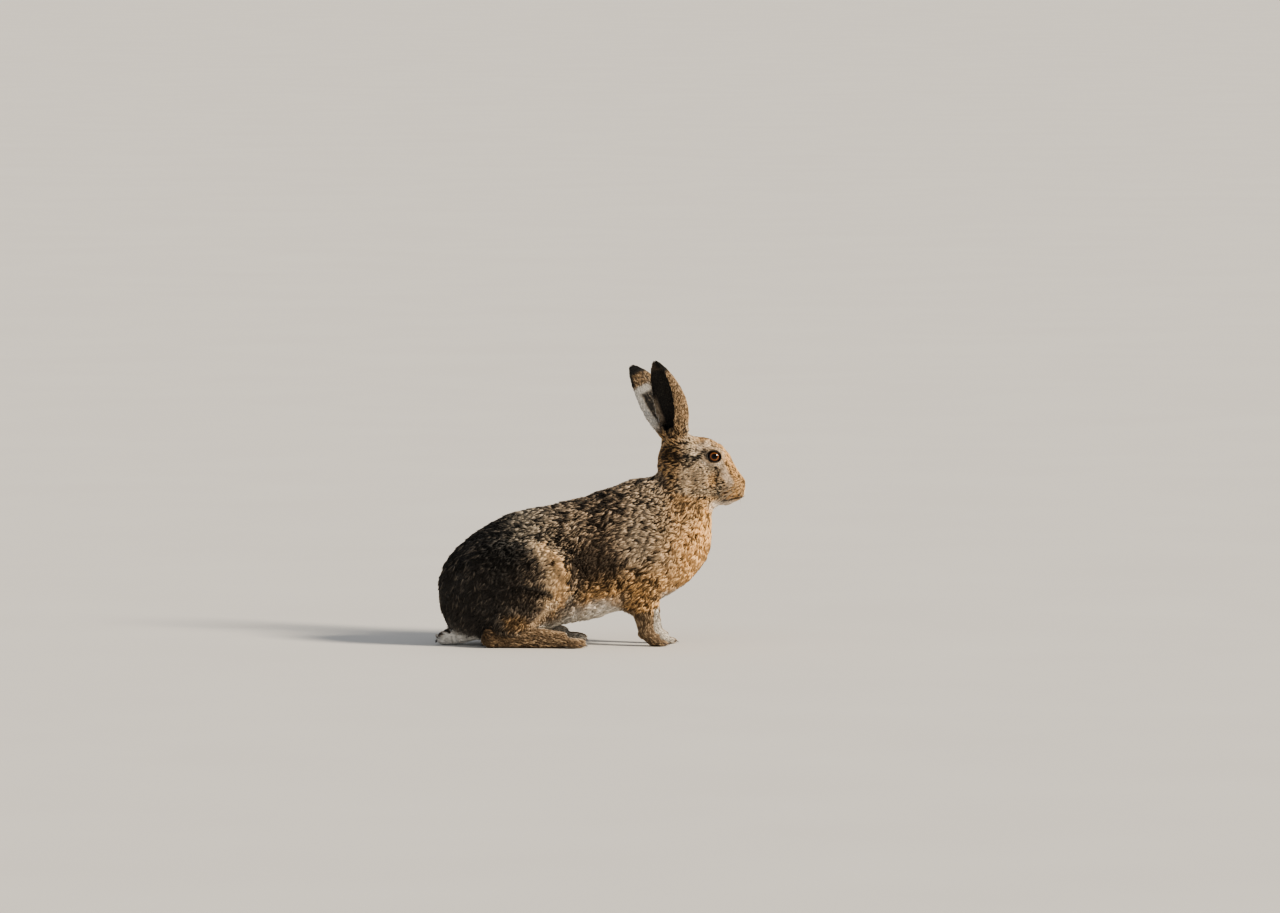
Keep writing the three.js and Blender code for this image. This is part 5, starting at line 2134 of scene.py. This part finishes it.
@dataclass
class Studio:
    """Pale floor, soft light and the camera at the photo's angle."""

    distance: float = 12.0
    elevation: float = 4.0
    target: Spot = (0.0620, 0.0, 0.2419)
    sensor: float = 36.0
    far_clip: float = 500.0
    floor_size: float = 160.0
    light_distance: float = 3.0
    sky: tuple[str, float] = ("#eef0f3", 0.40)
    lights: tuple[tuple[str, Spot, float, float, str], ...] = (
        ("key", (0.84, -0.42, 0.50), 12.0, 5.2, "#fff1dc"),
        ("fill", (-0.5, -0.9, 0.4), 60.0, 0.25, "#e8f0ff"))

    def floor(self) -> None:
        """Lay the floor."""
        bpy.ops.mesh.primitive_plane_add(size=self.floor_size)
        floor = bpy.context.object
        floor.name = "studio_floor"
        material = bpy.data.materials.new("pale_matt_floor")
        material.use_nodes = True
        tree = material.node_tree
        shader = tree.nodes["Principled BSDF"]
        place = add_node(tree, "ShaderNodeTexCoord").outputs["Object"]
        cloud = add_node(tree, "ShaderNodeTexNoise", {"Vector": place, "Scale": 3.0})
        tone = add_node(tree, "ShaderNodeMix", {
            0: cloud.outputs[0], 6: linear("#dcdad6"), 7: linear("#e4e2de")},
            data_type="RGBA").outputs[2]
        tree.links.new(tone, shader.inputs["Base Color"])
        shader.inputs["Roughness"].default_value = 0.85
        floor.data.materials.append(material)

    def sun(self, name: str, way: Spot, soft: float, power: float,
            colour: str) -> None:
        """Hang one far soft light.

        Args:
            name: Its name.
            way: From the animal towards the light.
            soft: Angle across the light in degrees.
            power: Its strength.
            colour: Its sRGB colour.
        """
        light = bpy.data.lights.new(name, "SUN")
        light.angle = math.radians(soft)
        light.energy = power
        light.color = linear(colour)[:3]
        self.aim(linked(name, light), Vector(way) * self.light_distance, Vector(way))

    def aim(self, obj: bpy.types.Object, place: Vector, away: Vector) -> None:
        """Put a light or camera in its place, looking back along the way it was moved out."""
        obj.location = place
        obj.rotation_euler = (-away).to_track_quat("-Z", "Y").to_euler()

    def build(self) -> None:
        """Make the floor, lights, sky and camera."""
        self.floor()
        for light in self.lights:
            self.sun(*light)
        world = bpy.data.worlds.new("studio_sky")
        world.use_nodes = True
        sky = world.node_tree.nodes["Background"]
        colour, strength = self.sky
        sky.inputs["Color"].default_value = linear(colour)
        sky.inputs["Strength"].default_value = strength
        bpy.context.scene.world = world
        lens = bpy.data.cameras.new("camera")
        width = PHOTO_WIDTH * MM_PER_PIXEL * MM
        lens.sensor_width = self.sensor
        lens.lens = self.sensor * self.distance / width
        lens.clip_end = self.far_clip
        lift = math.radians(self.elevation)
        away = Vector((0.0, -math.cos(lift), math.sin(lift))) * self.distance
        camera = linked("camera", lens)
        self.aim(camera, Vector(self.target) + away, away)
        bpy.context.scene.camera = camera
        bpy.context.scene.view_settings.view_transform = "AgX"
        bpy.context.scene.view_settings.look = "AgX - Medium High Contrast"


def main() -> None:
    """Build the hare from the skin outwards, then the studio."""
    logging.basicConfig(level=logging.INFO, format="%(message)s")
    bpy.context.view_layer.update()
    Studio().build()
    skin, surface = Skin().build()
    LOG.info("%s: %d triangles", skin.name, len(surface.triangles))
    tufts = Coat(surface).build()
    LOG.info("coat: %d tufts", tufts)
    glaze = EyeGlaze().build()
    for side in Side:
        LOG.info("%s made", Eye(side).build(glaze).name)
    for piece in (LidRims(), Claws(), Whiskers()):
        LOG.info("%s made", piece.build().name)


if __name__ == "__main__":
    main()
